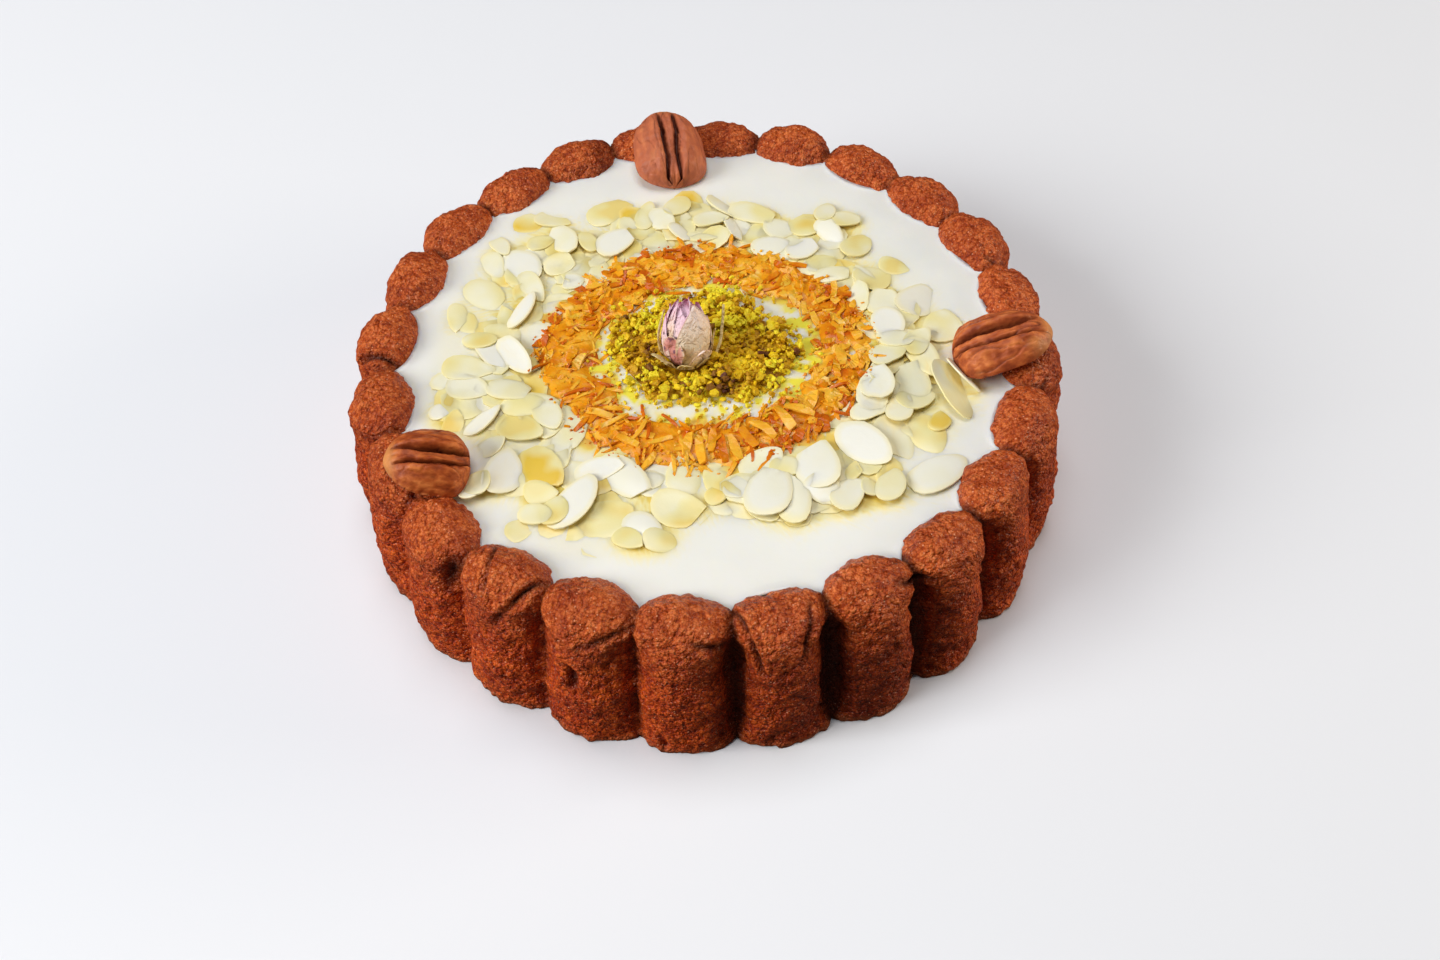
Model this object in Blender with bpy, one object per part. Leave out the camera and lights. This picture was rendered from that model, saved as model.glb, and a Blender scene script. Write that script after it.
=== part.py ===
"""A fluted date cake, filled with cream and dressed with nuts, coconut and a dried rosebud.

Sizes are in metres and +Z is up. The origin is the middle of the cake's underside, and the
front of the cake faces -Y. Angles run anticlockwise from +X, seen from above.
"""

import math

import bmesh
import bpy
from mathutils import Matrix, Vector
from mathutils.bvhtree import BVHTree

# The sponge: baked in a fluted tin, turned out, with a shallow recess in its top.
FINGERS = 24
FIRST_FINGER_DEG = -94.2
FINGER_CROWDING_DEG = 1.2
BASE_RADIUS = 0.1100
SHOULDER_RADIUS = 0.1050
SHOULDER_HEIGHT = 0.0410
CAKE_HEIGHT = 0.0514
FINGER_DEPTH = 0.0098
FINGER_HALF_WIDTH = 0.0138
BASE_FLUTE_SHARE = 0.62
SADDLE_POWER = 0.62
FINGER_SWELL = 0.0007
FINGER_SWELL_PACE = 2.4
CAP_SWELL = 0.0008
CAP_SWELL_PACE = 4.1
SWELL_START = 0.8
WALL_BULGE = 0.0012
RECESS_FLOOR = 0.0370
RECESS_DRAFT = 0.0006
COLUMNS_PER_FINGER = 8
WALL_HEIGHT_SHARES = (0.0, 0.36, 0.72, 1.0)
CAP_ANGLES_DEG = (29, 58, 86, 114, 147, 180)

# The cream: poured into the recess, level with the low places between the caps.
CREAM_TOP = 0.0450
CREAM_DIP = 0.0003
CREAM_RIPPLE = 0.0003
CREAM_RIPPLE_START = 0.6
CREAM_INNER_SHARE = 0.90
CREAM_EDGE_SHARE = 0.64
GAP = 0.0003

# Toppings, as heaps out to their uneven outlines: the reach every 15 degrees, in mm.
ALMOND_REACH_MM = (72, 74, 71, 67, 67, 67, 68, 67, 68, 73, 78, 80,
                   80, 83, 72, 77, 82, 77, 61, 69, 71, 76, 76, 74)
COCONUT_REACH_MM = (50, 50, 47, 45, 43, 42, 43, 43, 45, 45, 46, 49,
                    51, 50, 47, 49, 48, 48, 47, 47, 45, 47, 48, 49)
COCONUT_HOLE_MM = (32, 32, 31, 27, 25, 26, 25, 24, 25, 26, 28, 31,
                   32, 31, 30, 32, 31, 31, 30, 30, 31, 32, 32, 33)
PISTACHIO_REACH_MM = (29, 28, 23, 23, 23, 24, 23, 22, 23, 25, 27, 30,
                      31, 30, 27, 28, 27, 25, 24, 25, 28, 29, 30, 30)
RING_CLEARANCE = 0.0010
ALMOND_DEPTH = 0.0042
COCONUT_DEPTH = 0.0034
PISTACHIO_DEPTH = 0.0030
ALMOND_COLUMNS = 56
COCONUT_COLUMNS = 48
PISTACHIO_COLUMNS = 40
# Lumps round a ring or a heap: their size as a share of its depth, how many, and their slant.
RING_LUMPS = ((0.16, 9, 5.0), (0.12, 23, 0.0))
HEAP_LUMPS = (0.14, 7, 9.0)
# From the outer to the inner outline of a ring: share of the way, and share of the depth.
RING_PROFILE = ((0.0, 0.30), (0.14, 0.86), (0.50, 1.0), (0.86, 0.82), (1.0, 0.28), (1.0, 0.0), (0.0, 0.0))
# From under the middle of the heap over its rim to its top: share of the reach, and of the depth.
HEAP_PROFILE = ((0.0, 0.0), (1.0, 0.0), (0.98, 0.45), (0.72, 0.88), (0.38, 1.0), (0.0, 1.0))

# Three pecan halves, grooved side up: one end on the cream, the other on the caps.
# Each is its middle's distance and bearing, and its own heading, length and width.
PECANS = {
    "pecan_back": (0.0857, 97.5, 97.5, 0.0305, 0.0240),
    "pecan_right": (0.0872, -5.8, 5.0, 0.0290, 0.0225),
    "pecan_left": (0.0893, -149.0, -169.0, 0.0232, 0.0204),
}
PECAN_THICKNESS = 0.0092
PECAN_BACK_SHARE = 0.78
PECAN_TIP_BLUNTNESS = 2.6
PECAN_FOOT_BLUNTNESS = 4.2
PECAN_FULLNESS = 0.62
PECAN_ROUNDNESS = 0.8
PECAN_TAPER = 0.07
PECAN_DROOP = 0.0008
PECAN_TILTS_DEG = range(4, 27)
PECAN_ROLLS_DEG = range(-12, 13, 2)
PECAN_START_HEIGHT = 0.0700
PECAN_GROOVE_DEPTH = 0.0017
PECAN_SEGMENTS = 24
PECAN_RINGS = 10

# The rosebud: a dried bud set upright in the ground pistachio, with its thin stalk.
BUD_FOOT = Vector((-0.0058, -0.0078, 0.0456))
BUD_LENGTH = 0.0198
BUD_WIDTH = 0.0148
BUD_BELLY = 0.86
BUD_FULLNESS = 0.72
BUD_LEAN_DEG = 24.0
BUD_HEADING_DEG = 84.0
BUD_SEGMENTS = 18
BUD_RINGS = 10
PETAL_STEP = 0.05
PETALS_ROUND = 3
PETAL_TWIST = 4.0
STALK_DIAMETER = 0.0009
STALK_WELD = 0.00002
STALK_POINTS = (
    Vector((-0.0035, -0.0080, 0.0482)),
    Vector((0.0010, -0.0085, 0.0475)),
    Vector((0.0040, -0.0045, 0.0492)),
    Vector((0.0052, 0.0010, 0.0522)),
    Vector((0.0058, 0.0062, 0.0556)),
)


SMOOTH_ANGLE_DEG = 50


# ---------------------------------------------------------------- scene and materials

for leftover in list(bpy.data.objects):
    bpy.data.objects.remove(leftover)

parts = bpy.data.collections.new("date_cake")
cutters = bpy.data.collections.new("cutters")
bpy.context.scene.collection.children.link(parts)
bpy.context.scene.collection.children.link(cutters)


def food_material(name, color, roughness):
    """Make a plain Principled material."""
    material = bpy.data.materials.new(name)
    material.use_nodes = True
    shader = material.node_tree.nodes["Principled BSDF"]
    shader.inputs["Base Color"].default_value = (*color, 1.0)
    shader.inputs["Roughness"].default_value = roughness
    shader.inputs["Metallic"].default_value = 0.0
    return material


def file_part(part, name, material):
    """Name an object, give it its material and put it with the parts."""
    part.name = name
    part.data.name = name
    part.data.materials.clear()
    part.data.materials.append(material)
    for old in list(part.users_collection):
        old.objects.unlink(part)
    parts.objects.link(part)
    part.data.shade_smooth()
    part.data.set_sharp_from_angle(angle=math.radians(SMOOTH_ANGLE_DEG))
    return part


# ---------------------------------------------------------------- shaping by formula

def wrapped_sphere(columns, rows, place):
    """Shape a UV sphere: place(column, row) gives a point, row 0 being the bottom pole."""
    bpy.ops.mesh.primitive_uv_sphere_add(segments=columns, ring_count=rows, radius=1.0)
    part = bpy.context.object
    for vertex in part.data.vertices:
        x, y, z = vertex.co
        column = round(math.atan2(y, x) / math.tau * columns) % columns
        row = round(math.acos(max(-1.0, min(1.0, -z))) / math.pi * rows)
        vertex.co = place(column, row)
    part.data.update()
    return part


def wrapped_torus(columns, rows, place):
    """Shape a torus: place(column, row) gives a point, row 0 being the outer edge."""
    bpy.ops.mesh.primitive_torus_add(
        major_segments=columns, minor_segments=rows, major_radius=1.0, minor_radius=0.25)
    part = bpy.context.object
    for vertex in part.data.vertices:
        x, y, z = vertex.co
        column = round(math.atan2(y, x) / math.tau * columns) % columns
        row = round(math.atan2(z, math.hypot(x, y) - 1.0) / math.tau * rows) % rows
        vertex.co = place(column, row)
    part.data.update()
    return part


def polar(radius, angle, height):
    """Return the point at a radius, an angle in radians and a height."""
    return Vector((radius * math.cos(angle), radius * math.sin(angle), height))


def reach_at(reaches_mm, angle):
    """Read an outline given every few degrees, with a smooth curve between its points."""
    place = (angle / math.tau % 1.0) * len(reaches_mm)
    index = int(place)
    share = place - index
    ease = share * share * (3.0 - 2.0 * share)
    here = reaches_mm[index % len(reaches_mm)]
    there = reaches_mm[(index + 1) % len(reaches_mm)]
    return (here + (there - here) * ease) / 1000.0


# ---------------------------------------------------------------- the fluted outline

def finger_angle(count):
    """Return the angle, in radians, of a whole or part number of fingers from the first."""
    plain = math.radians(FIRST_FINGER_DEG) + math.tau * count / FINGERS
    return plain - math.radians(FINGER_CROWDING_DEG) * math.cos(plain)


def across_finger(count):
    """Return how much of a finger's depth is left at this place across it, 1 in its middle."""
    from_middle = (count - round(count)) * math.tau / FINGERS
    sideways = (SHOULDER_RADIUS - FINGER_DEPTH) * math.tan(from_middle)
    return math.sqrt(1.0 - (sideways / FINGER_HALF_WIDTH) ** 2)


def swell(count, size, pace):
    """Return a finger's own small difference in size, blended from finger to finger."""
    lower = math.floor(count)
    share = count - lower
    here = math.sin(pace * (lower % FINGERS) + SWELL_START)
    there = math.sin(pace * ((lower + 1) % FINGERS) + SWELL_START)
    return size * (here + (there - here) * share)


def cap_profile(count, turn):
    """Return the radius and height of the cap, turn 0 being its outer and pi its inner side."""
    share = across_finger(count)
    from_middle = (count - round(count)) * math.tau / FINGERS
    middle = (SHOULDER_RADIUS - FINGER_DEPTH) * math.cos(from_middle)
    middle += swell(count, FINGER_SWELL, FINGER_SWELL_PACE)
    rise = CAKE_HEIGHT - SHOULDER_HEIGHT + swell(count, CAP_SWELL, CAP_SWELL_PACE)
    radius = middle + FINGER_DEPTH * share * math.cos(turn)
    height = SHOULDER_HEIGHT + rise * share ** SADDLE_POWER * math.sin(turn)
    return radius, height


def wall_radius(count, height_share):
    """Return the outer wall's radius, from the base at 0 to the shoulder at 1."""
    shoulder, _ = cap_profile(count, 0.0)
    from_middle = (count - round(count)) * math.tau / FINGERS
    flute = FINGER_DEPTH * (1.0 - across_finger(count)) * BASE_FLUTE_SHARE
    base = BASE_RADIUS * (0.5 + 0.5 * math.cos(from_middle)) - flute
    bulge = WALL_BULGE * math.sin(math.pi * height_share)
    return base + (shoulder - base) * height_share + bulge


def inner_radius(count, height):
    """Return the radius of the recess wall at a height between its floor and the cream's top."""
    rim, _ = cap_profile(count, math.pi)
    if height <= SHOULDER_HEIGHT:
        return rim - RECESS_DRAFT * (SHOULDER_HEIGHT - height) / (SHOULDER_HEIGHT - RECESS_FLOOR)
    _, crest = cap_profile(count, math.pi / 2)
    share = min(1.0, (height - SHOULDER_HEIGHT) / (crest - SHOULDER_HEIGHT))
    radius, _ = cap_profile(count, math.pi - math.asin(share))
    return radius


# ---------------------------------------------------------------- sponge

def sponge_point(column, row):
    """Follow the cake's profile from under its middle, up the wall, over the cap and inside."""
    count = column / COLUMNS_PER_FINGER
    angle = finger_angle(count)
    wall_rows = len(WALL_HEIGHT_SHARES)
    cap_rows = len(CAP_ANGLES_DEG)
    if row == 0:
        return Vector((0.0, 0.0, 0.0))
    if row <= wall_rows:
        share = WALL_HEIGHT_SHARES[row - 1]
        return polar(wall_radius(count, share), angle, share * SHOULDER_HEIGHT)
    if row <= wall_rows + cap_rows:
        turn = math.radians(CAP_ANGLES_DEG[row - wall_rows - 1])
        radius, height = cap_profile(count, turn)
        return polar(radius, angle, height)
    if row == wall_rows + cap_rows + 1:
        return polar(inner_radius(count, RECESS_FLOOR), angle, RECESS_FLOOR)
    return Vector((0.0, 0.0, RECESS_FLOOR))


def make_sponge():
    """Make the fluted sponge with its recess."""
    rows = len(WALL_HEIGHT_SHARES) + len(CAP_ANGLES_DEG) + 2
    part = wrapped_sphere(FINGERS * COLUMNS_PER_FINGER, rows, sponge_point)
    return file_part(part, "sponge", food_material("date_sponge", (0.30, 0.09, 0.03), 0.85))


# ---------------------------------------------------------------- cream

def cream_point(column, row):
    """Follow the cream from under its middle, up the recess wall and over its top."""
    count = column / COLUMNS_PER_FINGER
    angle = finger_angle(count)
    edge = SHOULDER_HEIGHT + CREAM_EDGE_SHARE * (CREAM_TOP - SHOULDER_HEIGHT)
    heights = (RECESS_FLOOR + GAP, SHOULDER_HEIGHT, edge, CREAM_TOP)
    if row == 0:
        return Vector((0.0, 0.0, heights[0]))
    if row <= len(heights):
        height = heights[row - 1]
        return polar(inner_radius(count, height) - GAP, angle, height)
    if row == len(heights) + 1:
        ripple = CREAM_RIPPLE * math.sin(2.0 * angle + CREAM_RIPPLE_START) - CREAM_DIP
        radius = SHOULDER_RADIUS - 2.0 * FINGER_DEPTH
        return polar(radius * CREAM_INNER_SHARE, angle, CREAM_TOP + min(0.0, ripple))
    return Vector((0.0, 0.0, CREAM_TOP - CREAM_DIP))


def make_cream():
    """Make the cream that fills the recess."""
    part = wrapped_sphere(FINGERS * COLUMNS_PER_FINGER, 6, cream_point)
    return file_part(part, "cream", food_material("cream", (0.86, 0.83, 0.75), 0.30))


# ---------------------------------------------------------------- toppings in rings

def ring_of_topping(columns, reach_mm, hole_mm, depth):
    """Heap a ring between two outlines: flat beneath, thin at both rims, lumpy on top."""
    def place(column, row):
        angle = math.tau * column / columns
        share, lift = RING_PROFILE[row]
        outer = reach_at(reach_mm, angle)
        inner = reach_at(hole_mm, angle) + RING_CLEARANCE
        lump = 1.0 + sum(size * math.sin(count * angle + slant * share) for size, count, slant in RING_LUMPS)
        return polar(outer + (inner - outer) * share, angle, CREAM_TOP + GAP + depth * lift * lump)

    return wrapped_torus(columns, len(RING_PROFILE), place)


def make_almond_ring():
    """Make the broad outer ring of flaked almonds, which begins where the coconut ends."""
    part = ring_of_topping(ALMOND_COLUMNS, ALMOND_REACH_MM, COCONUT_REACH_MM, ALMOND_DEPTH)
    return file_part(part, "almond_ring", food_material("flaked_almond", (0.84, 0.76, 0.52), 0.45))


def make_coconut_ring():
    """Make the inner ring of toasted coconut shreds."""
    part = ring_of_topping(COCONUT_COLUMNS, COCONUT_REACH_MM, COCONUT_HOLE_MM, COCONUT_DEPTH)
    return file_part(part, "coconut_ring", food_material("toasted_coconut", (0.78, 0.29, 0.04), 0.40))


def make_pistachio_heap():
    """Make the low heap of ground pistachio in the middle."""
    size, count, slant = HEAP_LUMPS

    def place(column, row):
        angle = math.tau * column / PISTACHIO_COLUMNS
        share, lift = HEAP_PROFILE[row]
        radius = reach_at(PISTACHIO_REACH_MM, angle) * share
        lump = 1.0 + size * math.sin(count * angle + slant * share) * share
        return polar(radius, angle, CREAM_TOP + GAP + PISTACHIO_DEPTH * lift * lump)

    part = wrapped_sphere(PISTACHIO_COLUMNS, len(HEAP_PROFILE) - 1, place)
    return file_part(part, "pistachio_heap", food_material("ground_pistachio", (0.42, 0.36, 0.04), 0.75))


# ---------------------------------------------------------------- pecan halves

def pecan_pose(distance, bearing_deg, heading_deg, tilt_deg, roll_deg, height):
    """Return the matrix that holds a pecan half by its middle, tilted along and rolled across."""
    roll = Matrix.Rotation(math.radians(roll_deg), 4, "X")
    tilt = Matrix.Rotation(-math.radians(tilt_deg), 4, "Y")
    heading = Matrix.Rotation(math.radians(heading_deg), 4, "Z")
    middle = polar(distance, math.radians(bearing_deg), height)
    return Matrix.Translation(middle) @ heading @ tilt @ roll


def surface_of(*bodies):
    """Return the points of some parts and a search tree of their faces."""
    points = []
    faces = []
    for body in bodies:
        first = len(points)
        points.extend(body.matrix_world @ vertex.co for vertex in body.data.vertices)
        faces.extend([first + index for index in face.vertices] for face in body.data.polygons)
    return points, BVHTree.FromPolygons(points, faces)


def drop_to_rest(part, pose, bed_points, bed):
    """Return how far a posed part can drop until it is a gap away from its bed."""
    down = Vector((0.0, 0.0, -1.0))
    points = [pose @ vertex.co for vertex in part.data.vertices]
    faces = [list(face.vertices) for face in part.data.polygons]
    underside = BVHTree.FromPolygons(points, faces)
    falls = [bed.ray_cast(point, down)[3] for point in points]
    falls += [underside.ray_cast(point, -down)[3] for point in bed_points]
    return min(fall for fall in falls if fall is not None) - GAP


def make_pecan(name, distance, bearing_deg, heading_deg, length, width, material, bed_parts):
    """Make a pecan half, with two long grooves, and lay it where its middle comes lowest."""
    groove_segments = (PECAN_SEGMENTS // 4 - 1, PECAN_SEGMENTS // 4 + 1)

    def place(column, row):
        along = -math.cos(math.pi * row / PECAN_RINGS)
        turn = math.tau * column / PECAN_SEGMENTS
        bluntness = PECAN_TIP_BLUNTNESS if along > 0.0 else PECAN_FOOT_BLUNTNESS
        girth = (1.0 - abs(along) ** bluntness) ** PECAN_FULLNESS * (1.0 - PECAN_TAPER * along)
        across = 0.5 * width * girth * math.cos(turn)
        up = math.sin(turn) * (PECAN_BACK_SHARE if turn < math.pi else 1.0 - PECAN_BACK_SHARE)
        height = PECAN_THICKNESS * up * girth ** PECAN_ROUNDNESS
        if column in groove_segments:
            height -= PECAN_GROOVE_DEPTH * girth
        height += (1.0 - PECAN_BACK_SHARE) * PECAN_THICKNESS - PECAN_DROOP * along * along
        return Vector((0.5 * length * along, across, height))

    part = wrapped_sphere(PECAN_SEGMENTS, PECAN_RINGS, place)
    bed_points, bed = surface_of(*bed_parts)
    near = [point for point in bed_points if point.z > RECESS_FLOOR + GAP
            and (point.xy - polar(distance, math.radians(bearing_deg), 0.0).xy).length < length]
    resting = []
    for tilt_deg in PECAN_TILTS_DEG:
        for roll_deg in PECAN_ROLLS_DEG:
            pose = pecan_pose(distance, bearing_deg, heading_deg, tilt_deg, roll_deg, PECAN_START_HEIGHT)
            drop = drop_to_rest(part, pose, near, bed)
            resting.append((PECAN_START_HEIGHT - drop, abs(roll_deg), roll_deg, tilt_deg))
    height, _, roll_deg, tilt_deg = min(resting)
    part.data.transform(pecan_pose(distance, bearing_deg, heading_deg, tilt_deg, roll_deg, height))
    return file_part(part, name, material)


# ---------------------------------------------------------------- rosebud

def bud_axes():
    """Return the matrix that stands the bud on its foot, leaning back a little."""
    lean = Matrix.Rotation(math.radians(BUD_LEAN_DEG), 4, "Y")
    heading = Matrix.Rotation(math.radians(BUD_HEADING_DEG), 4, "Z")
    return Matrix.Translation(BUD_FOOT) @ heading @ lean


def make_bud(extra):
    """Make the bud: an egg with a drawn-in tip and the steps of its wrapped petals."""
    def place(column, row):
        share = row / BUD_RINGS
        turn = math.tau * column / BUD_SEGMENTS
        girth = math.sin(math.pi * min(1.0, share ** BUD_BELLY)) ** BUD_FULLNESS
        petal = 1.0 + PETAL_STEP * math.sin(PETALS_ROUND * turn + PETAL_TWIST * share)
        radius = (0.5 * BUD_WIDTH * petal + extra) * girth
        height = -extra + (BUD_LENGTH + 2.0 * extra) * share
        return Vector((radius * math.cos(turn), radius * math.sin(turn), height))

    part = wrapped_sphere(BUD_SEGMENTS, BUD_RINGS, place)
    part.data.transform(bud_axes())
    return part


def make_stalk(extra):
    """Make the thin dry stalk as a curve with filled caps, and turn it into a mesh."""
    curve = bpy.data.curves.new("stalk_curve", "CURVE")
    curve.dimensions = "3D"
    curve.bevel_depth = 0.5 * STALK_DIAMETER + extra
    curve.bevel_resolution = 1
    curve.resolution_u = 3
    curve.use_fill_caps = True
    spline = curve.splines.new("BEZIER")
    spline.bezier_points.add(len(STALK_POINTS) - 1)
    for point, place in zip(spline.bezier_points, STALK_POINTS):
        point.co = place
        point.handle_left_type = "AUTO"
        point.handle_right_type = "AUTO"
    guide = bpy.data.objects.new("stalk_guide", curve)
    cutters.objects.link(guide)
    bpy.context.view_layer.update()
    evaluated = guide.evaluated_get(bpy.context.evaluated_depsgraph_get())
    mesh = bpy.data.meshes.new_from_object(evaluated)
    shape = bmesh.new()
    shape.from_mesh(mesh)
    bmesh.ops.remove_doubles(shape, verts=shape.verts, dist=STALK_WELD)
    shape.to_mesh(mesh)
    shape.free()
    stalk = bpy.data.objects.new("stalk", mesh)
    stalk.matrix_world = guide.matrix_world
    bpy.data.objects.remove(guide)
    return stalk


def as_cutter(part, name):
    """File a helper shape with the cutters, drawn as wire and left out of renders."""
    part.name = name
    for old in list(part.users_collection):
        old.objects.unlink(part)
    cutters.objects.link(part)
    part.hide_render = True
    part.display_type = "WIRE"
    return part


def boolean(part, cutter, operation):
    """Add an exact Boolean modifier."""
    modifier = part.modifiers.new(operation.lower(), "BOOLEAN")
    modifier.operation = operation
    modifier.object = cutter
    modifier.solver = "EXACT"


def make_rosebud(heap):
    """Make the rosebud and its stalk as one piece, and clear a hollow for it in the heap."""
    bud = file_part(make_bud(0.0), "rosebud", food_material("dried_petal", (0.62, 0.40, 0.36), 0.70))
    boolean(bud, as_cutter(make_stalk(0.0), "stalk_tool"), "UNION")
    boolean(heap, as_cutter(make_bud(GAP), "bud_hollow"), "DIFFERENCE")
    boolean(heap, as_cutter(make_stalk(GAP), "stalk_hollow"), "DIFFERENCE")
    return bud


# ---------------------------------------------------------------- the cake, put together

pecan_bed = (make_sponge(), make_cream(), make_almond_ring())
make_coconut_ring()
pecan_material = food_material("pecan", (0.36, 0.12, 0.05), 0.55)
for pecan_name, pecan_sizes in PECANS.items():
    make_pecan(pecan_name, *pecan_sizes, pecan_material, pecan_bed)
make_rosebud(make_pistachio_heap())
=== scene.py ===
import math
import random

import bmesh
import bpy
from mathutils import Matrix, Vector, noise


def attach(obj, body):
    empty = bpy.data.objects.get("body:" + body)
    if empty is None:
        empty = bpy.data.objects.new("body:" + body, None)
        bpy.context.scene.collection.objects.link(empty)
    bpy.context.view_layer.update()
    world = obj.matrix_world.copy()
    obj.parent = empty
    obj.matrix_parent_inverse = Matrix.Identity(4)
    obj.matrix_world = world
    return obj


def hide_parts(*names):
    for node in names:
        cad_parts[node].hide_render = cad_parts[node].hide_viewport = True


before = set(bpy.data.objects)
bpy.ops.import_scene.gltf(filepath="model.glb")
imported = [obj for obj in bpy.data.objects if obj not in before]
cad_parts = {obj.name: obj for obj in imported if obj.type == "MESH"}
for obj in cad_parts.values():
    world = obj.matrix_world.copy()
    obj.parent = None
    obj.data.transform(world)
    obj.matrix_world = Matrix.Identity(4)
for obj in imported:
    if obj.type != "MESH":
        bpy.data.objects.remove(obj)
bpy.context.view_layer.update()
MM = 0.001


# ---------------------------------------------------------------- sponge
# The date sponge, baked in a fluted round tin and turned out: 24 upright fingers with domed
# ends round a sunk top. The crust is brown and grainy, with folds where the batter met the tin.
FINGERS = 24
FIRST_FINGER_DEG = -94.2
FINGER_CROWDING_DEG = 1.2
BASE_RADIUS = 0.1100
SHOULDER_RADIUS = 0.1050
SHOULDER_HEIGHT = 0.0410
CAKE_HEIGHT = 0.0514
FINGER_DEPTH = 0.0098
FINGER_HALF_WIDTH = 0.0138
BASE_FLUTE_SHARE = 0.62
SADDLE_POWER = 0.62
FINGER_SWELL = 0.0007
CAP_SWELL = 0.0008
WALL_BULGE = 0.0012
RECESS_FLOOR = 0.0370
RECESS_DRAFT = 0.0006
COLUMNS_PER_FINGER = 40
FOOT_ROWS = 2
WALL_ROWS = 44
CAP_ROWS = 34
RECESS_ROWS = 5
CAP_ARC = 0.0310
FINGER_PITCH = 0.0275
FOOT_INSET = 0.0020
SLOT_DEPTH = 0.0058
FOOT_EDGE = 0.0030
FOOT_SPREAD = 0.0003
FOOT_RAGGED = 0.0008
FOOT_LIFT = 0.0010
CAP_EDGE = 0.0455
CAP_EDGE_SWELL = 0.0016
CAP_EDGE_RAGGED = 0.0020
OVERHANG_SWELL = 0.0009
OVERHANG_TUCK = 0.0006
CROWN_FROM = 0.030
CROWN_RUN = 0.022
# The crust's lumps, coarse to fine: how far they stand out, and about how many lie along a metre.
CRUST_LUMPS = ((0.00090, 80.0), (0.00075, 190.0), (0.00045, 420.0), (0.00024, 820.0))
CRUMB_RISE = 0.00055
CRUMBS_PER_METRE = 480.0
PIT_DEPTH = 0.0035
PITS_PER_METRE = 260.0
# The wall is painted darkest round this finger, as painted shade on the side the light misses, and less
# over this many to both sides.
DARKEST_FINGER = 1.7
DARK_FINGERS = 1.2
# How deep the slot after each finger is, as a share of the deepest, and how dark its painted shade line is.
SLOT_SHARES = (1.0, 1.0, 1.0, 0.9, 0.7, 0.6, 0.7, 0.5, 0.6, 0.7, 0.5, 0.6,
               0.7, 0.6, 0.5, 0.7, 0.6, 0.4, 0.4, 0.6, 0.3, 0.2, 0.35, 0.35)
FOLD_NEAR_FINGERS = 0.4
FOLD_LIP = 0.30
# Folds and dents: finger count and way up the skin in mm at both ends, half width, depth in mm.
FOLDS = (
    (21.70, 63.0, 21.90, 53.0, 0.6, 1.0), (21.90, 53.0, 21.96, 47.0, 0.6, 0.9),
    (22.46, 60.0, 22.25, 46.0, 0.9, 2.2), (22.25, 46.0, 22.08, 39.0, 0.9, 0.8),
    (21.45, 49.0, 21.40, 35.0, 2.0, 1.5), (22.90, 33.0, 22.92, 24.0, 1.5, 2.4),
    (23.02, 43.0, 23.50, 50.5, 1.0, 1.0), (0.52, 62.0, 0.65, 50.0, 0.7, 1.3),
    (0.65, 50.0, 0.76, 35.0, 0.7, 1.1), (1.32, 57.0, 1.12, 38.0, 0.9, 1.0),
    (0.10, 49.0, 0.44, 46.0, 1.2, 1.1), (2.22, 52.0, 2.66, 45.0, 1.3, 1.6),
    (18.30, 44.0, 18.47, 66.0, 0.9, 2.4), (16.52, 57.0, 16.56, 55.5, 1.6, -1.2),
    (18.44, 63.0, 18.47, 64.5, 1.1, -1.2), (7.40, 52.0, 7.62, 60.0, 0.8, 1.0),
    (10.30, 50.0, 10.70, 57.0, 0.8, 0.8), (13.10, 40.0, 13.45, 47.0, 1.0, 1.0),
    (15.62, 47.0, 15.50, 60.0, 0.8, 1.1), (5.30, 44.0, 5.62, 49.0, 1.0, 1.0),
    (11.92, 26.0, 11.95, 19.0, 1.6, 1.8), (8.80, 34.0, 8.86, 21.0, 1.2, 1.2),
)


def held(value):
    """A value held between 0 and 1."""
    return max(0.0, min(1.0, value))


def smooth_step(value, low, high):
    """0 below low, 1 above high, and an even run between them; low may be the larger."""
    share = held((value - low) / (high - low))
    return share * share * (3.0 - 2.0 * share)


def bell(off, width):
    """1 where an offset is 0, falling off smoothly to both sides over a width."""
    return math.exp(-(off / width) ** 2)


def uneven(*place):
    """A smooth random value between about -1 and 1 that belongs to a place."""
    return noise.noise(Vector(place))


def around(away, angle):
    """The x and y of a place, from its distance and bearing."""
    return away * math.cos(angle), away * math.sin(angle)


def finger_angle(count):
    """The bearing of a finger count: fingers stand a little closer together on one side."""
    plain = math.radians(FIRST_FINGER_DEG) + math.tau * count / FINGERS
    return plain - math.radians(FINGER_CROWDING_DEG) * math.cos(plain)


def off_middle(count):
    """The angle between a finger count and the middle of its finger."""
    return (count - round(count)) * math.tau / FINGERS


def across_finger(count):
    """How round a finger stands out at a count: 1 on its middle, least in the flute."""
    sideways = (SHOULDER_RADIUS - FINGER_DEPTH) * math.tan(off_middle(count))
    return math.sqrt(1.0 - (sideways / FINGER_HALF_WIDTH) ** 2)


def swell(count, size, pace):
    """A small change of size that differs from finger to finger."""
    lower = math.floor(count)
    here = math.sin(pace * (lower % FINGERS) + 0.8)
    there = math.sin(pace * ((lower + 1) % FINGERS) + 0.8)
    return size * (here + (there - here) * (count - lower))


def cap_profile(count, turn):
    """Radius and height on a domed end: a turn of 0 is its outer side, pi its inner side."""
    share = across_finger(count)
    middle = (SHOULDER_RADIUS - FINGER_DEPTH) * math.cos(off_middle(count))
    middle += swell(count, FINGER_SWELL, 2.4)
    rise = CAKE_HEIGHT - SHOULDER_HEIGHT + swell(count, CAP_SWELL, 4.1)
    return (middle + FINGER_DEPTH * share * math.cos(turn),
            SHOULDER_HEIGHT + rise * share ** SADDLE_POWER * math.sin(turn))


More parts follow.
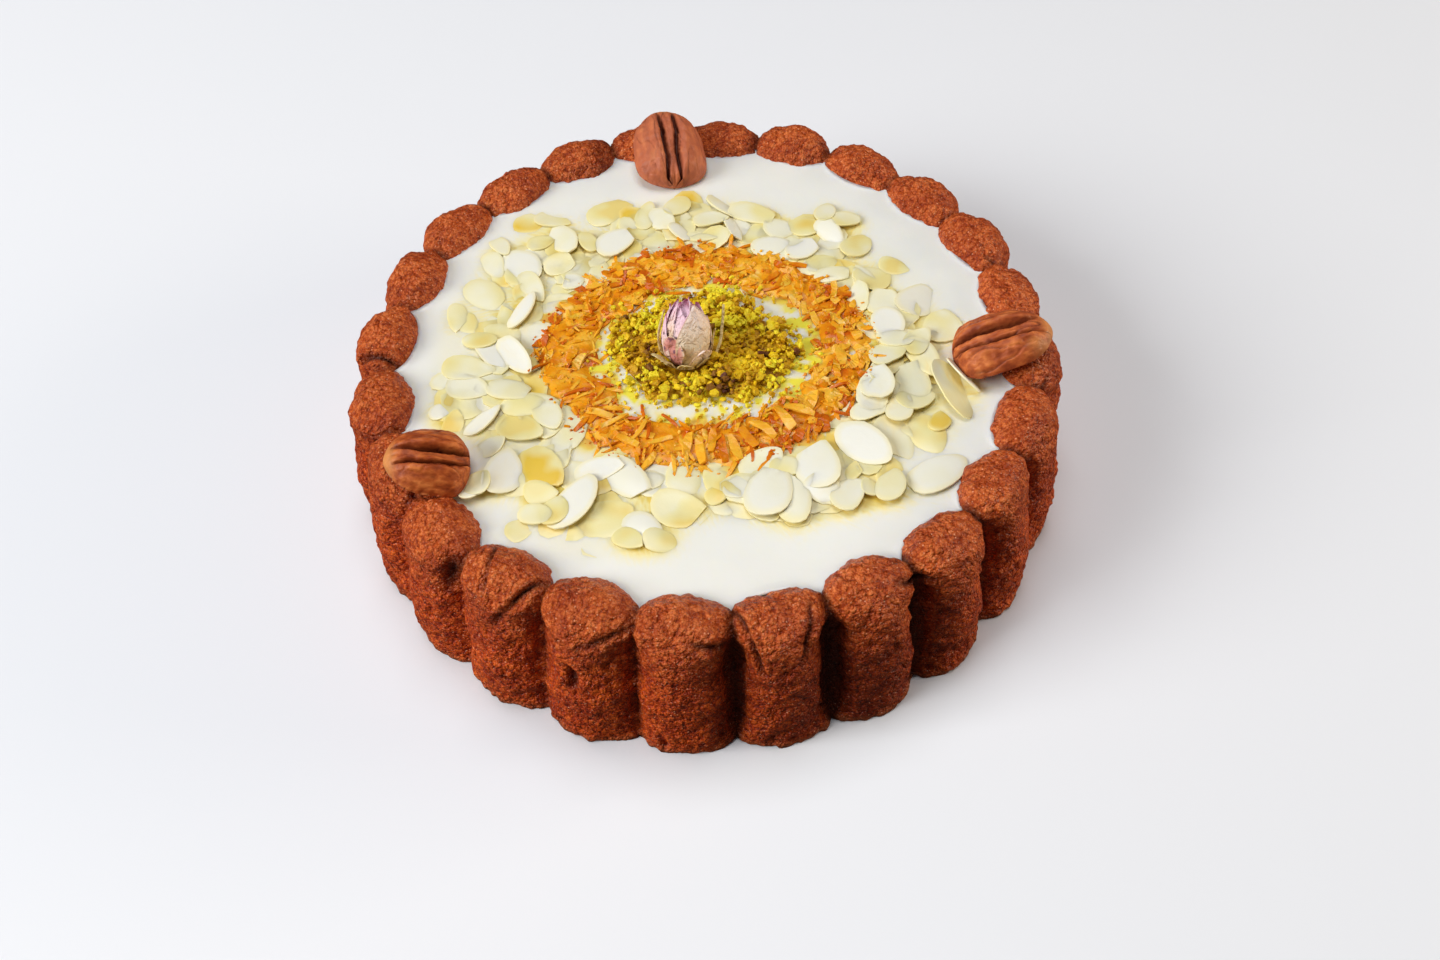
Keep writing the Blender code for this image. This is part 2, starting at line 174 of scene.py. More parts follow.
def wall_radius(count, share):
    """The radius of the fluted wall, at a share of its height."""
    shoulder, _ = cap_profile(count, 0.0)
    flute = FINGER_DEPTH * (1.0 - across_finger(count)) * BASE_FLUTE_SHARE
    base = BASE_RADIUS * (0.5 + 0.5 * math.cos(off_middle(count))) - flute
    return base + (shoulder - base) * share + WALL_BULGE * math.sin(math.pi * share)


def recess_radius(count, height):
    """The radius of the recess wall, with the inner side of the domed ends above it."""
    rim, _ = cap_profile(count, math.pi)
    if height <= SHOULDER_HEIGHT:
        depth = (SHOULDER_HEIGHT - height) / (SHOULDER_HEIGHT - RECESS_FLOOR)
        return rim - RECESS_DRAFT * depth
    _, crest = cap_profile(count, math.pi / 2)
    share = min(1.0, (height - SHOULDER_HEIGHT) / (crest - SHOULDER_HEIGHT))
    return cap_profile(count, math.pi - math.asin(share))[0]


def start_with(add_primitive, name, **sizes):
    """A new shape started from a primitive, with nothing else selected."""
    bpy.ops.object.select_all(action="DESELECT")
    add_primitive(**sizes)
    shape = bpy.context.object
    shape.name = shape.data.name = name
    return shape


def ring_skin(name, columns, rows):
    """A closed skin of stacked rings with a point at both ends, one step up for each ring."""
    skin = start_with(bpy.ops.mesh.primitive_circle_add, name, vertices=columns, radius=1.0)
    bpy.ops.object.mode_set(mode="EDIT")
    bpy.ops.mesh.select_mode(type="VERT")
    bpy.ops.mesh.select_all(action="SELECT")
    for _ in range(rows):
        bpy.ops.mesh.extrude_region_move(TRANSFORM_OT_translate={"value": (0, 0, 1)})
    bpy.ops.mesh.merge(type="CENTER")
    bpy.ops.mesh.select_all(action="DESELECT")
    editing = bmesh.from_edit_mesh(skin.data)
    for vertex in editing.verts:
        vertex.select = vertex.co.z < 0.5
    editing.select_flush(True)
    bpy.ops.mesh.extrude_region_move(TRANSFORM_OT_translate={"value": (0, 0, -1)})
    bpy.ops.mesh.merge(type="CENTER")
    bpy.ops.mesh.select_all(action="SELECT")
    bpy.ops.mesh.normals_make_consistent(inside=False)
    bpy.ops.object.mode_set(mode="OBJECT")
    bpy.ops.object.shade_smooth()
    return skin


def press(skin, place):
    """Press a ring skin into shape: place(turn, row) gives each point, with turn from 0 to 1."""
    for vertex in skin.data.vertices:
        x, y, z = vertex.co
        vertex.co = place(math.atan2(y, x) / math.tau % 1.0, round(z))
    skin.data.update()


def write_masks(piece, **masks):
    """Store numbers on a piece for its material to read: one for each point, or one for all."""
    for name, values in masks.items():
        if not isinstance(values, list):
            values = [values] * len(piece.data.vertices)
        piece.data.attributes.new(name, "FLOAT", "POINT").data.foreach_set("value", values)


def sponge_profile(count, row):
    """Radius, height and way up the skin at a ring of the sponge, before its crust."""
    if row < 0:
        return 0.0, 0.0, 0.0
    if row == 0:
        return wall_radius(count, 0.0) - FOOT_INSET, 0.0, 0.0
    row -= FOOT_ROWS - 1
    if row <= WALL_ROWS:
        share = row / WALL_ROWS
        return wall_radius(count, share), SHOULDER_HEIGHT * share, SHOULDER_HEIGHT * share
    row -= WALL_ROWS
    if row <= CAP_ROWS:
        share = row / CAP_ROWS
        radius, height = cap_profile(count, math.pi * share)
        return radius, height, SHOULDER_HEIGHT + CAP_ARC * share
    row -= CAP_ROWS
    if row <= RECESS_ROWS:
        height = SHOULDER_HEIGHT - (SHOULDER_HEIGHT - RECESS_FLOOR) * row / RECESS_ROWS
        return recess_radius(count, height), height, SHOULDER_HEIGHT + CAP_ARC
    return 0.0, RECESS_FLOOR, SHOULDER_HEIGHT + CAP_ARC


def fold_at(count, way):
    """How far the folds push the crust in at a place, and how dark the painted shade in their troughs makes
    it.
    """
    push = dark = 0.0
    for count_a, way_a, count_b, way_b, half_width, depth in FOLDS:
        first, last = min(count_a, count_b), max(count_a, count_b)
        if not first - FOLD_NEAR_FINGERS < count < last + FOLD_NEAR_FINGERS:
            continue
        start = Vector((count_a * FINGER_PITCH, way_a * MM))
        run = Vector((count_b * FINGER_PITCH, way_b * MM)) - start
        here = Vector((count * FINGER_PITCH, way)) - start
        share = held(here.dot(run) / run.length_squared)
        off = (here - run * share).length / (half_width * MM)
        if off < 5.0:
            fade = 1.0 - 0.55 * abs(2.0 * share - 1.0) ** 3
            trough = bell(off, 1.0) * fade
            push += (trough - FOLD_LIP * bell(off - 2.3, 1.3) * fade) * depth * MM
            dark = max(dark, trough * min(1.0, depth / 1.2))
    return push, dark


def cap_edge(count):
    """How far up the skin the domed end of a finger starts: lower on some, and uneven."""
    return CAP_EDGE + swell(count, CAP_EDGE_SWELL, 3.3) + CAP_EDGE_RAGGED * uneven(count * 2.1, 8.0, 3.0)


def slot_at(count, way):
    """How much deeper the flute is cut under the domed ends, and how dark the painted shade line at its
    bottom is.
    """
    share = SLOT_SHARES[math.floor(count) % FINGERS]
    under = smooth_step(way, cap_edge(count) + 0.0030, cap_edge(count) - 0.0080)
    low = 0.25 + 0.75 * held(way / 0.0120)
    line = bell(abs(count - math.floor(count) - 0.5), 0.040) * min(0.8, 0.1 + 0.8 * share)
    return SLOT_DEPTH * share * (1.0 - across_finger(count)) * under * low, line


def overhang(count, way):
    """The lower edge of a domed end swells out over the wall below it."""
    above = way - cap_edge(count)
    size = 0.5 * max(0.0, uneven(count * 0.7, 1.0, 6.0))
    return size * (OVERHANG_SWELL * bell(above - 0.0030, 0.0032)
                   - OVERHANG_TUCK * bell(above + 0.0025, 0.0025))


sponge = ring_skin("baked_sponge", FINGERS * COLUMNS_PER_FINGER,
                   FOOT_ROWS + WALL_ROWS + CAP_ROWS + RECESS_ROWS)
sponge_places = []


def sponge_place(turn, row):
    """One point of the sponge's smooth skin; the place on the skin is kept for the crust."""
    count = turn * FINGERS
    radius, height, way = sponge_profile(count, row)
    sponge_places.append((count, way, row))
    return Vector((*around(radius, finger_angle(count)), height))


press(sponge, sponge_place)
crust_marks = []
normals = [vertex.normal.copy() for vertex in sponge.data.vertices]
for vertex, normal, (count, way, row) in zip(sponge.data.vertices, normals, sponge_places):
    crown = held((way - CROWN_FROM) / CROWN_RUN)
    push, fold_shade = fold_at(count, way)
    slot, slot_shade = slot_at(count, way)
    foot = held(1.0 - way / FOOT_EDGE)
    # Painted shade: the walls darken round the darkest finger.
    fingers_off = (count - DARKEST_FINGER + 0.5 * FINGERS) % FINGERS - 0.5 * FINGERS
    painted_side_shade = (1.0 - crown) * bell(fingers_off, DARK_FINGERS)
    crust_marks.append((slot_shade, crown, painted_side_shade, fold_shade, foot))
    if row <= 0 or way >= SHOULDER_HEIGHT + CAP_ARC:
        continue
    place = vertex.co
    rise = sum(size * noise.noise(place * per_metre) for size, per_metre in CRUST_LUMPS)
    rise += CRUMB_RISE * (0.45 - noise.voronoi(place * CRUMBS_PER_METRE)[0][0])
    pit = max(0.0, noise.noise(place * PITS_PER_METRE + Vector((7, 3, 5))) - 0.38)
    rise += overhang(count, way) - PIT_DEPTH * pit * (1.0 - 0.5 * crown)
    ragged = uneven(count * 3.1, 0.0, 4.0) + 0.7 * uneven(count * 9.7, 2.0, 1.0)
    vertex.co = place + normal * (rise - push - slot + foot * (FOOT_SPREAD + FOOT_RAGGED * ragged))
    vertex.co.z = max(0.0, vertex.co.z + FOOT_LIFT * foot * max(0.0, ragged + 0.2))
sponge.data.update()
for name, values in zip(("slot_shade", "crown", "painted_side_shade", "fold_shade", "foot"), zip(*crust_marks)):
    write_masks(sponge, **{name: list(values)})


def shader_node(tree, kind, inputs=None, **settings):
    """Add a shader node; an input is a number, a colour or another node's output."""
    made = tree.nodes.new(kind)
    for name, value in settings.items():
        setattr(made, name, value)
    for name, value in (inputs or {}).items():
        if isinstance(value, bpy.types.NodeSocket):
            tree.links.new(value, made.inputs[name])
        else:
            made.inputs[name].default_value = value
    return made


def mixed(tree, factor, first, second, mode="MIX"):
    """The colour between two colours, each a node's output or plain red, green and blue."""
    first, second = (colour if isinstance(colour, bpy.types.NodeSocket) else (*colour, 1.0)
                     for colour in (first, second))
    return shader_node(tree, "ShaderNodeMix", {0: factor, 6: first, 7: second},
                       data_type="RGBA", blend_type=mode).outputs[2]


def sum_of(tree, *parts, start=0.0):
    """Values times their weights, added to a start one by one and held between 0 and 1."""
    for value, weight in parts:
        start = shader_node(tree, "ShaderNodeMath", {0: value, 1: weight, 2: start},
                            operation="MULTIPLY_ADD", use_clamp=True).outputs[0]
    return start


def mask(tree, name):
    """A piece's own stored mask."""
    return shader_node(tree, "ShaderNodeAttribute", attribute_name=name).outputs["Fac"]


def stained(tree, colour, amount, shade, strength=1.0, start=0.0):
    """A colour turned to a shade where an amount, or the mask of that name, is high."""
    if isinstance(amount, str):
        amount = mask(tree, amount)
    return mixed(tree, sum_of(tree, (amount, strength), start=-start), colour, shade)


def ramp(tree, value, *stops):
    """The colour that a value from 0 to 1 stands for."""
    made = shader_node(tree, "ShaderNodeValToRGB", {"Fac": value})
    points = made.color_ramp.elements
    while len(points) < len(stops):
        points.new(0.5)
    for point, (position, colour) in zip(points, stops):
        point.position = position
        point.color = (*colour, 1.0)
    return made.outputs["Color"]


def on_piece(tree):
    """The place on a piece, in metres."""
    return shader_node(tree, "ShaderNodeTexCoord").outputs["Object"]


def clouds(tree, place, per_metre, detail, **more):
    """Soft patches, about so many along a metre."""
    inputs = {"Vector": place, "Scale": per_metre, "Detail": detail, **more}
    return shader_node(tree, "ShaderNodeTexNoise", inputs).outputs


def between(tree, value, low, high, most=1.0):
    """0 where a value is at low, running to the most where it is at high."""
    inputs = {"Value": value, "From Min": low, "From Max": high, "To Max": most}
    return shader_node(tree, "ShaderNodeMapRange", inputs).outputs[0]


def new_finish(name, **values):
    """A material and its nodes; plain values are set on its shader's own sockets."""
    material = bpy.data.materials.new(name)
    material.use_nodes = True
    for socket, value in values.items():
        material.node_tree.nodes["Principled BSDF"].inputs[socket.replace("_", " ")].default_value = value
    return material, material.node_tree


def paint(tree, colour, height, depth, strength):
    """Give a finish its colour, and relief that a height from 0 to 1 raises by a depth in metres."""
    shader = tree.nodes["Principled BSDF"]
    bump = shader_node(tree, "ShaderNodeBump", {"Height": height, "Distance": depth, "Strength": strength})
    tree.links.new(colour, shader.inputs["Base Color"])
    tree.links.new(bump.outputs["Normal"], shader.inputs["Normal"])


# The grain that the crust and the ground nuts share: how high it stands, its lit crests, its blotches.
grains = bpy.data.node_groups.new("baked_grain", "ShaderNodeTree")
grains.interface.new_socket("Grains per metre", in_out="INPUT", socket_type="NodeSocketFloat")
for output in ("Height", "Crest", "Blotch"):
    grains.interface.new_socket(output, in_out="OUTPUT", socket_type="NodeSocketFloat")
per_metre = grains.nodes.new("NodeGroupInput").outputs["Grains per metre"]
fine = clouds(grains, on_piece(grains), per_metre, 3.0, Roughness=0.65)
knocked = mixed(grains, 0.0004, on_piece(grains), fine["Color"], "LINEAR_LIGHT")
cells = shader_node(grains, "ShaderNodeTexVoronoi", {"Vector": knocked, "Scale": per_metre}).outputs
domes = sum_of(grains, (cells["Distance"], -1.0), start=1.0)
cell_tone = shader_node(grains, "ShaderNodeSeparateColor", {"Color": cells["Color"]}).outputs[0]
lit = sum_of(grains, (fine["Fac"], 0.30), (domes, 0.42), (cell_tone, 0.21))
shader_node(grains, "NodeGroupOutput", {
    "Height": sum_of(grains, (domes, 0.65), (fine["Fac"], 0.35)),
    "Crest": between(grains, lit, 0.25, 0.68),
    "Blotch": between(grains, clouds(grains, on_piece(grains), 110.0, 4.0)["Fac"], 0.34, 0.66)})


def grain_of(tree, per_metre):
    """The shared grain, at this many grains to a metre."""
    return shader_node(tree, "ShaderNodeGroup", {"Grains per metre": per_metre}, node_tree=grains).outputs


crust, tree = new_finish("date_sponge_crust", Roughness=0.32, Specular_IOR_Level=0.27)
coarse, grain = grain_of(tree, 640.0), grain_of(tree, 1500.0)
crest = sum_of(tree, (grain["Crest"], 0.55), (coarse["Crest"], 0.45))
crumb = ramp(tree, crest, (0.16, (0.180, 0.009, 0.001)), (0.44, (0.48, 0.046, 0.0024)),
             (0.78, (0.84, 0.142, 0.016)))
# Painted shade darkens the walls round the darkest finger.
crumb = mixed(tree, mask(tree, "painted_side_shade"), crumb, mixed(tree, 1.0, crumb, (0.45, 0.38, 0.40), "MULTIPLY"))
top = ramp(tree, crest, (0.16, (0.26, 0.029, 0.003)), (0.44, (0.46, 0.070, 0.009)),
           (0.80, (0.74, 0.185, 0.050)))
tint = ramp(tree, coarse["Blotch"], (0.1, (1.12, 1.18, 1.15)), (0.5, (1.0, 1.0, 1.0)),
            (0.9, (0.80, 0.68, 0.66)))
colour = mixed(tree, 1.0, mixed(tree, mask(tree, "crown"), crumb, top), tint, "MULTIPLY")
# Pale specks painted on some of the crust's grains stand for glints.
glint_cells = shader_node(tree, "ShaderNodeTexVoronoi", {"Vector": on_piece(tree), "Scale": 1150.0}).outputs
painted_glint = between(tree, glint_cells["Distance"], 0.32, 0.16, 0.70)
chosen = shader_node(tree, "ShaderNodeSeparateColor", {"Color": glint_cells["Color"]}).outputs[1]
colour = stained(tree, colour, painted_glint, (0.95, 0.46, 0.26), between(tree, chosen, 0.72, 0.88))
# The foot turns paler; painted shade darkens the bottom of each flute and the troughs of the folds.
for mark, shade, strength in (("foot", (0.46, 0.15, 0.060), 0.55), ("slot_shade", (0.022, 0.003, 0.001), 0.93),
                              ("fold_shade", (0.020, 0.003, 0.002), 0.90)):
    colour = stained(tree, colour, mark, shade, strength)
paint(tree, colour, sum_of(tree, (grain["Height"], 0.35), (coarse["Height"], 0.65)), 0.0020, 1.0)
sponge.data.materials.append(crust)
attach(sponge, "root")
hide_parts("sponge")


# ---------------------------------------------------------------- cream
# Thick pale cream, poured into the recess until it stands between the domed ends and left to
# set: a smooth satin face, a little higher at its rim, stained yellow by what lies on it, and
# painted golden as shade round the almond flakes.
CREAM_TOP = 0.0450
CREAM_FOOT = 0.0375
CREAM_TUCK = 0.0007
CREAM_WAVES = 0.00035
CREAM_COLUMNS = 576
CREAM_RINGS = 70
MENISCUS = 0.0005
MENISCUS_WIDTH = 0.0030
# How far each topping reaches, every 15 degrees anticlockwise from +X, in mm.
ALMOND_REACH_MM = (72, 74, 71, 67, 67, 67, 68, 67, 68, 73, 78, 80,
                   80, 83, 72, 77, 82, 77, 61, 69, 71, 76, 76, 74)
COCONUT_REACH_MM = (50, 50, 47, 45, 43, 42, 43, 43, 45, 45, 46, 49,
                    51, 50, 47, 49, 48, 48, 47, 47, 45, 47, 48, 49)
COCONUT_HOLE_MM = (32, 32, 31, 27, 25, 26, 25, 24, 25, 26, 28, 31,
                   32, 31, 30, 32, 31, 31, 30, 30, 31, 32, 32, 33)
PISTACHIO_REACH_MM = (29, 28, 23, 23, 23, 24, 23, 22, 23, 25, 27, 30,
                      31, 30, 27, 28, 27, 25, 24, 25, 28, 29, 30, 30)


def reach_at(reach_mm, angle):
    """How far a topping reaches at a bearing, run smoothly between its 15 degree values."""
    place = angle % math.tau / math.tau * len(reach_mm)
    lower = int(place)
    share = smooth_step(place - lower, 0.0, 1.0)
    near, far = reach_mm[lower % len(reach_mm)], reach_mm[(lower + 1) % len(reach_mm)]
    return (near + (far - near) * share) * MM


def patchy(x, y, layer, per_metre):
    """A smooth random value at a place, changing about so often in a metre; each layer differs."""
    return noise.noise(Vector((x, y, layer)) * per_metre)


def cream_level(x, y):
    """The height of the cream's face, with its slow waves."""
    return CREAM_TOP + CREAM_WAVES * patchy(x, y, 0.0, 28.0)


def cream_place(turn, row):
    """One point of the cream, from its foot over its rim to the middle of its face."""
    count = turn * FINGERS
    angle = finger_angle(count)
    if row < 0:
        return Vector((0.0, 0.0, CREAM_FOOT))
    if row == 0:
        return Vector((*around(recess_radius(count, CREAM_FOOT) - CREAM_TUCK, angle), CREAM_FOOT))
    rim = recess_radius(count, CREAM_TOP) + CREAM_TUCK
    share = (1.0 - (row - 1) / (CREAM_RINGS - 1)) ** 0.85 if row < CREAM_RINGS else 0.0
    x, y = around(rim * share, angle)
    edge = max(0.0, 1.0 - rim * (1.0 - share) / MENISCUS_WIDTH)
    return Vector((x, y, cream_level(x, y) + MENISCUS * edge * edge))


cream = ring_skin("poured_cream", CREAM_COLUMNS, CREAM_RINGS)
press(cream, cream_place)
syrup_stain = []
pistachio_stain = []
for vertex in cream.data.vertices:
    x, y, _ = vertex.co
    away, angle = math.hypot(x, y) + 0.0045 * patchy(x, y, 0.05, 120.0), math.atan2(y, x)
    patch = patchy(x, y, 0.02, 210.0) + 0.5 * patchy(x, y, 0.03, 480.0)
    outer, inner = reach_at(COCONUT_REACH_MM, angle), reach_at(COCONUT_HOLE_MM, angle)
    heap = reach_at(PISTACHIO_REACH_MM, angle)
    syrup_stain.append(smooth_step(away, outer + 0.006, outer - 0.001)
                       * smooth_step(away, inner - 0.004, inner + 0.002) * smooth_step(patch, -0.55, 0.15))
    pistachio_stain.append(smooth_step(away, heap + 0.011, heap + 0.002)
                           * (0.08 + 0.92 * smooth_step(patch, -0.05, 0.30)))
write_masks(cream, syrup_stain=syrup_stain, pistachio_stain=pistachio_stain)

set_cream, tree = new_finish(
    "set_cream", Roughness=0.34, Subsurface_Weight=0.60, Subsurface_Scale=0.0035,
    Subsurface_Radius=(1.0, 0.90, 0.65))
cloud = clouds(tree, on_piece(tree), 140.0, 4.0)["Fac"]
colour = mixed(tree, cloud, (0.815, 0.825, 0.775), (0.845, 0.85, 0.81))
# The almond marks are golden stain and golden painted shade from the flakes.
for stain, shade, strength, start in (
        ("almond_stain", (0.90, 0.80, 0.41), 2.6, 0.0), ("almond_stain", (0.83, 0.62, 0.12), 2.6, 1.0),
        ("syrup_stain", (0.86, 0.68, 0.11), 1.6, 0.0), ("syrup_stain", (0.80, 0.40, 0.060), 1.6, 0.7),
        ("pistachio_stain", (0.88, 0.78, 0.06), 1.15, 0.0)):
    colour = stained(tree, colour, stain, shade, strength, start)
paint(tree, colour, cloud, 0.0004, 0.25)
cream.data.materials.append(set_cream)
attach(cream, "root")
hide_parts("cream")


# ---------------------------------------------------------------- flaked almonds
# Blanched almonds sliced lengthwise, strewn in a wide ring and lying over each other: thin ivory
# ovals with one pointed end, halves and chips, some leaning steeply on their neighbours.
FLAKE_THICKNESS = 0.00045
FLAKE_SINK = 0.0004
# The flakes that show best: place, heading, length, width, lean along, lean across, tone.
# Millimetres and degrees. Lean along lifts the pointed end; lean across lifts the left side.
SHOWN_FLAKES = (
    # front right
    (26.0, -42.0, 10, 9, 6, 0, 0, 0.9), (15.0, -45.0, 40, 14, 9, 0, 8, 0.25),
    (22.0, -46.5, 5, 10, 7, 0, 0, 0.6), (2.5, -55.0, 30, 7, 6, 0, 0, 0.8),
    (8.0, -52.5, 80, 9, 7, 0, 0, 0.2), (23.0, -56.5, 85, 18, 10, 0, 14, 0.35),
    (16.5, -54.0, 80, 20, 12.5, 4, 14, 0.15), (31.5, -55.0, -60, 12, 9.5, 0, -10, 0.15),
    (38.0, -56.0, 60, 13, 9, 0, 16, 0.2), (30.0, -45.5, 88, 18.5, 12.5, 5, 16, 0.1),
    (44.0, -53.5, 80, 8, 5.5, 0, 0, 0.5), (40.5, -48.0, 50, 8, 4.5, 0, 10, 0.7),
    (49.5, -53.5, 65, 13, 8, 0, 20, 0.3), (63.0, -49.0, 28, 20, 12, 0, 0, 0.12),
    (52.0, -38.0, -72, 18, 11, 6, 12, 0.25), (43.5, -39.5, -52, 19, 12, 8, -16, 0.0),
    (62.0, -36.5, -65, 13, 11, 4, 8, 0.6), (66.0, -31.5, 60, 9, 6, 0, 10, 0.75),
    (55.0, -26.5, 70, 13, 8, 0, 14, 0.2), (47.0, -27.5, 18, 13, 7, 0, 10, 0.3),
    (49.5, -18.0, 76, 14.5, 9.5, 0, 18, 0.1), (60.0, -24.0, 20, 12, 8, 0, 0, 0.4),
    (60.0, -15.5, 92, 15, 10.5, 10, 8, 0.3), (64.0, -8.5, -66, 15, 9, 6, -14, 0.45),
    (53.5, -7.0, 20, 11, 9, 0, 0, 0.4), (57.0, -1.0, -10, 13, 7, 0, 14, 0.3),
    (71.0, -21.0, -74, 21, 11, 4, 34, 0.4), (74.5, -16.0, -62, 15, 8, 0, 58, 0.0),
    # front left
    (-45.5, -45.5, -60, 17, 12, 0, 6, 1.0), (-45.5, -52.5, 0, 10, 7, 0, 0, 0.5),
    (-56.0, -45.5, 86, 16, 10.5, 0, -22, 0.0), (-62.5, -50.0, 60, 9, 7, 0, 12, 0.5),
    (-64.5, -52.0, 10, 7, 6, 0, 0, 0.2), (-50.0, -64.0, 20, 9, 7, 0, 0, 0.5),
    (-27.5, -61.5, 22, 16, 12, 0, 8, 0.65), (-22.5, -49.0, -42, 20, 11, 0, -14, 0.1),
    (-29.5, -45.5, 12, 15, 8, 0, -12, 0.0), (-36.0, -56.0, 62, 20, 11, 4, 22, 0.0),
    (-17.0, -65.5, -46, 13, 9, 0, -12, 0.1), (-12.0, -69.5, -20, 12, 7, 0, 0, 0.6),
    (-7.5, -59.5, -14, 16.5, 11.5, 0, -12, 0.75), (-21.0, -68.5, -30, 10, 6, 0, 0, 0.85),
    (-53.0, -30.0, -32, 15, 9.5, 0, -10, 0.6), (-52.0, -22.0, -4, 14, 8, 0, 8, 0.45),
    (-69.0, -14.5, -12, 15, 9, 0, 0, 0.4), (-70.0, -7.0, -6, 17, 9, 0, -8, 0.5),
    (-56.5, -16.0, -14, 16, 8, 0, 8, 0.3), (-76.0, -23.0, 20, 7, 6, 0, 0, 0.1),
    (-64.0, -27.0, 46, 14, 6, 0, 24, 0.1), (-72.0, -27.5, 72, 10, 6, 0, 6, 0.75),
    (-45.0, -26.0, -70, 12, 8, 0, 0, 0.35), (-63.5, -1.5, -62, 18, 7.5, 0, 14, 0.0),
    (-56.5, -3.0, -58, 18, 7.5, 0, -26, 0.0), (-60.5, -36.0, 30, 9, 6, 0, 0, 0.3),
    (-41.0, -58.5, 60, 12, 8, 0, 0, 0.6), (-46.0, -60.0, -10, 10, 7, 0, 10, 0.4),
    # back left
    (-68.0, 23.0, -54, 17, 11, 0, -12, 0.5), (-57.0, 35.5, -52, 16, 11, 0, -12, 0.1),
    (-53.5, 26.0, -60, 14, 7, 0, -18, 0.4), (-55.5, 16.0, 70, 16, 6.5, 0, 30, 0.0),
    (-75.5, 14.0, -80, 13, 6, 0, 12, 0.5), (-66.5, 36.5, -60, 13, 7, 0, 0, 0.4),
    (-45.0, 46.5, -62, 17, 9, 0, -20, 0.2), (-36.5, 44.5, -70, 10, 6, 0, 0, 0.7),
    (-27.5, 45.0, 42, 15, 11, 0, 12, 0.05), (-30.0, 60.5, 36, 19, 10, 0, -8, 0.6),
    (-18.5, 57.0, 80, 13, 7, 0, 10, 0.6), (-13.0, 54.0, -72, 13, 8, 0, -16, 0.2),
    (-7.0, 47.5, -50, 12, 5, 0, 26, 0.1), (-56.0, 56.0, 4, 14, 9, 0, 0, 0.8),
    (-45.0, 35.5, 30, 12, 8, 0, 0, 0.6), (-65.0, 45.0, -60, 11, 6, 0, 0, 0.3),
    (-67.5, 4.0, -10, 11, 7, 0, 6, 0.6), (-49.0, 57.0, -20, 12, 8, 0, 0, 0.5),
    (-52.0, 46.0, 20, 10, 7, 0, 6, 0.7), (-8.0, 61.0, 60, 11, 8, 0, 8, 0.5),
    # back right
    (7.0, 60.5, -52, 16, 6, 0, 30, 0.3), (17.5, 56.0, -24, 18, 9, 0, -10, 0.45),
    (25.0, 49.0, 0, 11, 9, 0, 0, 0.25), (10.0, 48.5, -74, 13, 5, 0, 14, 0.1),
    (22.0, 41.0, 10, 13, 9, 0, -8, 0.1), (32.0, 39.5, 32, 13, 9, 0, 12, 0.05),
    (33.5, 49.5, 10, 12, 8, 0, 0, 0.7), (41.0, 46.0, -58, 14, 7, 0, -20, 0.1),
    (49.0, 40.5, 42, 13, 9, 0, 10, 0.7), (47.0, 52.0, 10, 10, 7, 0, 0, 0.5),
    (36.5, 64.0, 50, 10, 8, 0, 0, 0.6), (53.0, 25.5, 20, 12, 11, 0, -8, 0.5),
    (55.0, 15.5, 80, 13, 11, 0, 10, 0.2), (55.0, 6.0, 88, 13, 10, 0, -8, 0.0),
    (65.5, 16.0, 56, 16, 11, 6, -20, 0.1), (71.5, 5.0, 88, 15, 11.5, 0, 10, 0.5),
    (63.0, -2.0, 60, 12, 8, 0, 10, 0.6), (41.0, 27.5, 8, 13, 7, 0, 0, 0.3),
    (47.5, 18.0, 80, 13, 7, 0, 14, 0.3), (60.0, 31.0, -20, 11, 7, 0, 0, 0.6),
    (3.0, 54.0, 10, 12, 8, 0, 8, 0.3), (40.0, 56.0, 70, 11, 7, 0, 0, 0.4),
)
HIDDEN_FLAKES = 250
HIDDEN_LENGTHS = (0.010, 0.0175)
HIDDEN_WIDTH_SHARES = (0.55, 0.78)
# How much of a flake's tip is broken off, as shares of its length, for hidden and for shown ones.
HIDDEN_BREAKS = (0.0, 0.0, 0.12, 0.25, 0.4)
SHOWN_BREAKS = (0.0, 0.0, 0.08, 0.16)
CHIP_BREAK = 0.3
CHIP_BELOW_MM = 8.5
NUDGES = [(along, across) for along in (-8, 0, 8) for across in (-9, 0, 9)]
RESTING_LEANS = [(along, across) for along in (-15, -10, -5, 0, 5, 10, 15)
                 for across in (-18, -12, -6, 0, 6, 12, 18)]
LEVEL_CELL = 0.0007
LEAN_EFFORT = 0.00002
CREAM_YIELD = 0.0005
PACKING = 0.88
levels = {}


def level_at(x, y):
    """The height of whatever lies on the cream at a place."""
    return levels.get((round(x / LEVEL_CELL), round(y / LEVEL_CELL)), CREAM_TOP - CREAM_YIELD)


def raise_level(x, y, height):
    """Note that something now reaches this height at a place."""
    cell = (round(x / LEVEL_CELL), round(y / LEVEL_CELL))
    if height > levels.get(cell, CREAM_TOP - CREAM_YIELD):
        levels[cell] = height


def points_and_faces(piece):
    """A modelled shape's points and faces, after which the shape itself is removed."""
    points = [vertex.co.copy() for vertex in piece.data.vertices]
    faces = [list(face.vertices) for face in piece.data.polygons]
    bpy.data.objects.remove(piece)
    return points, faces


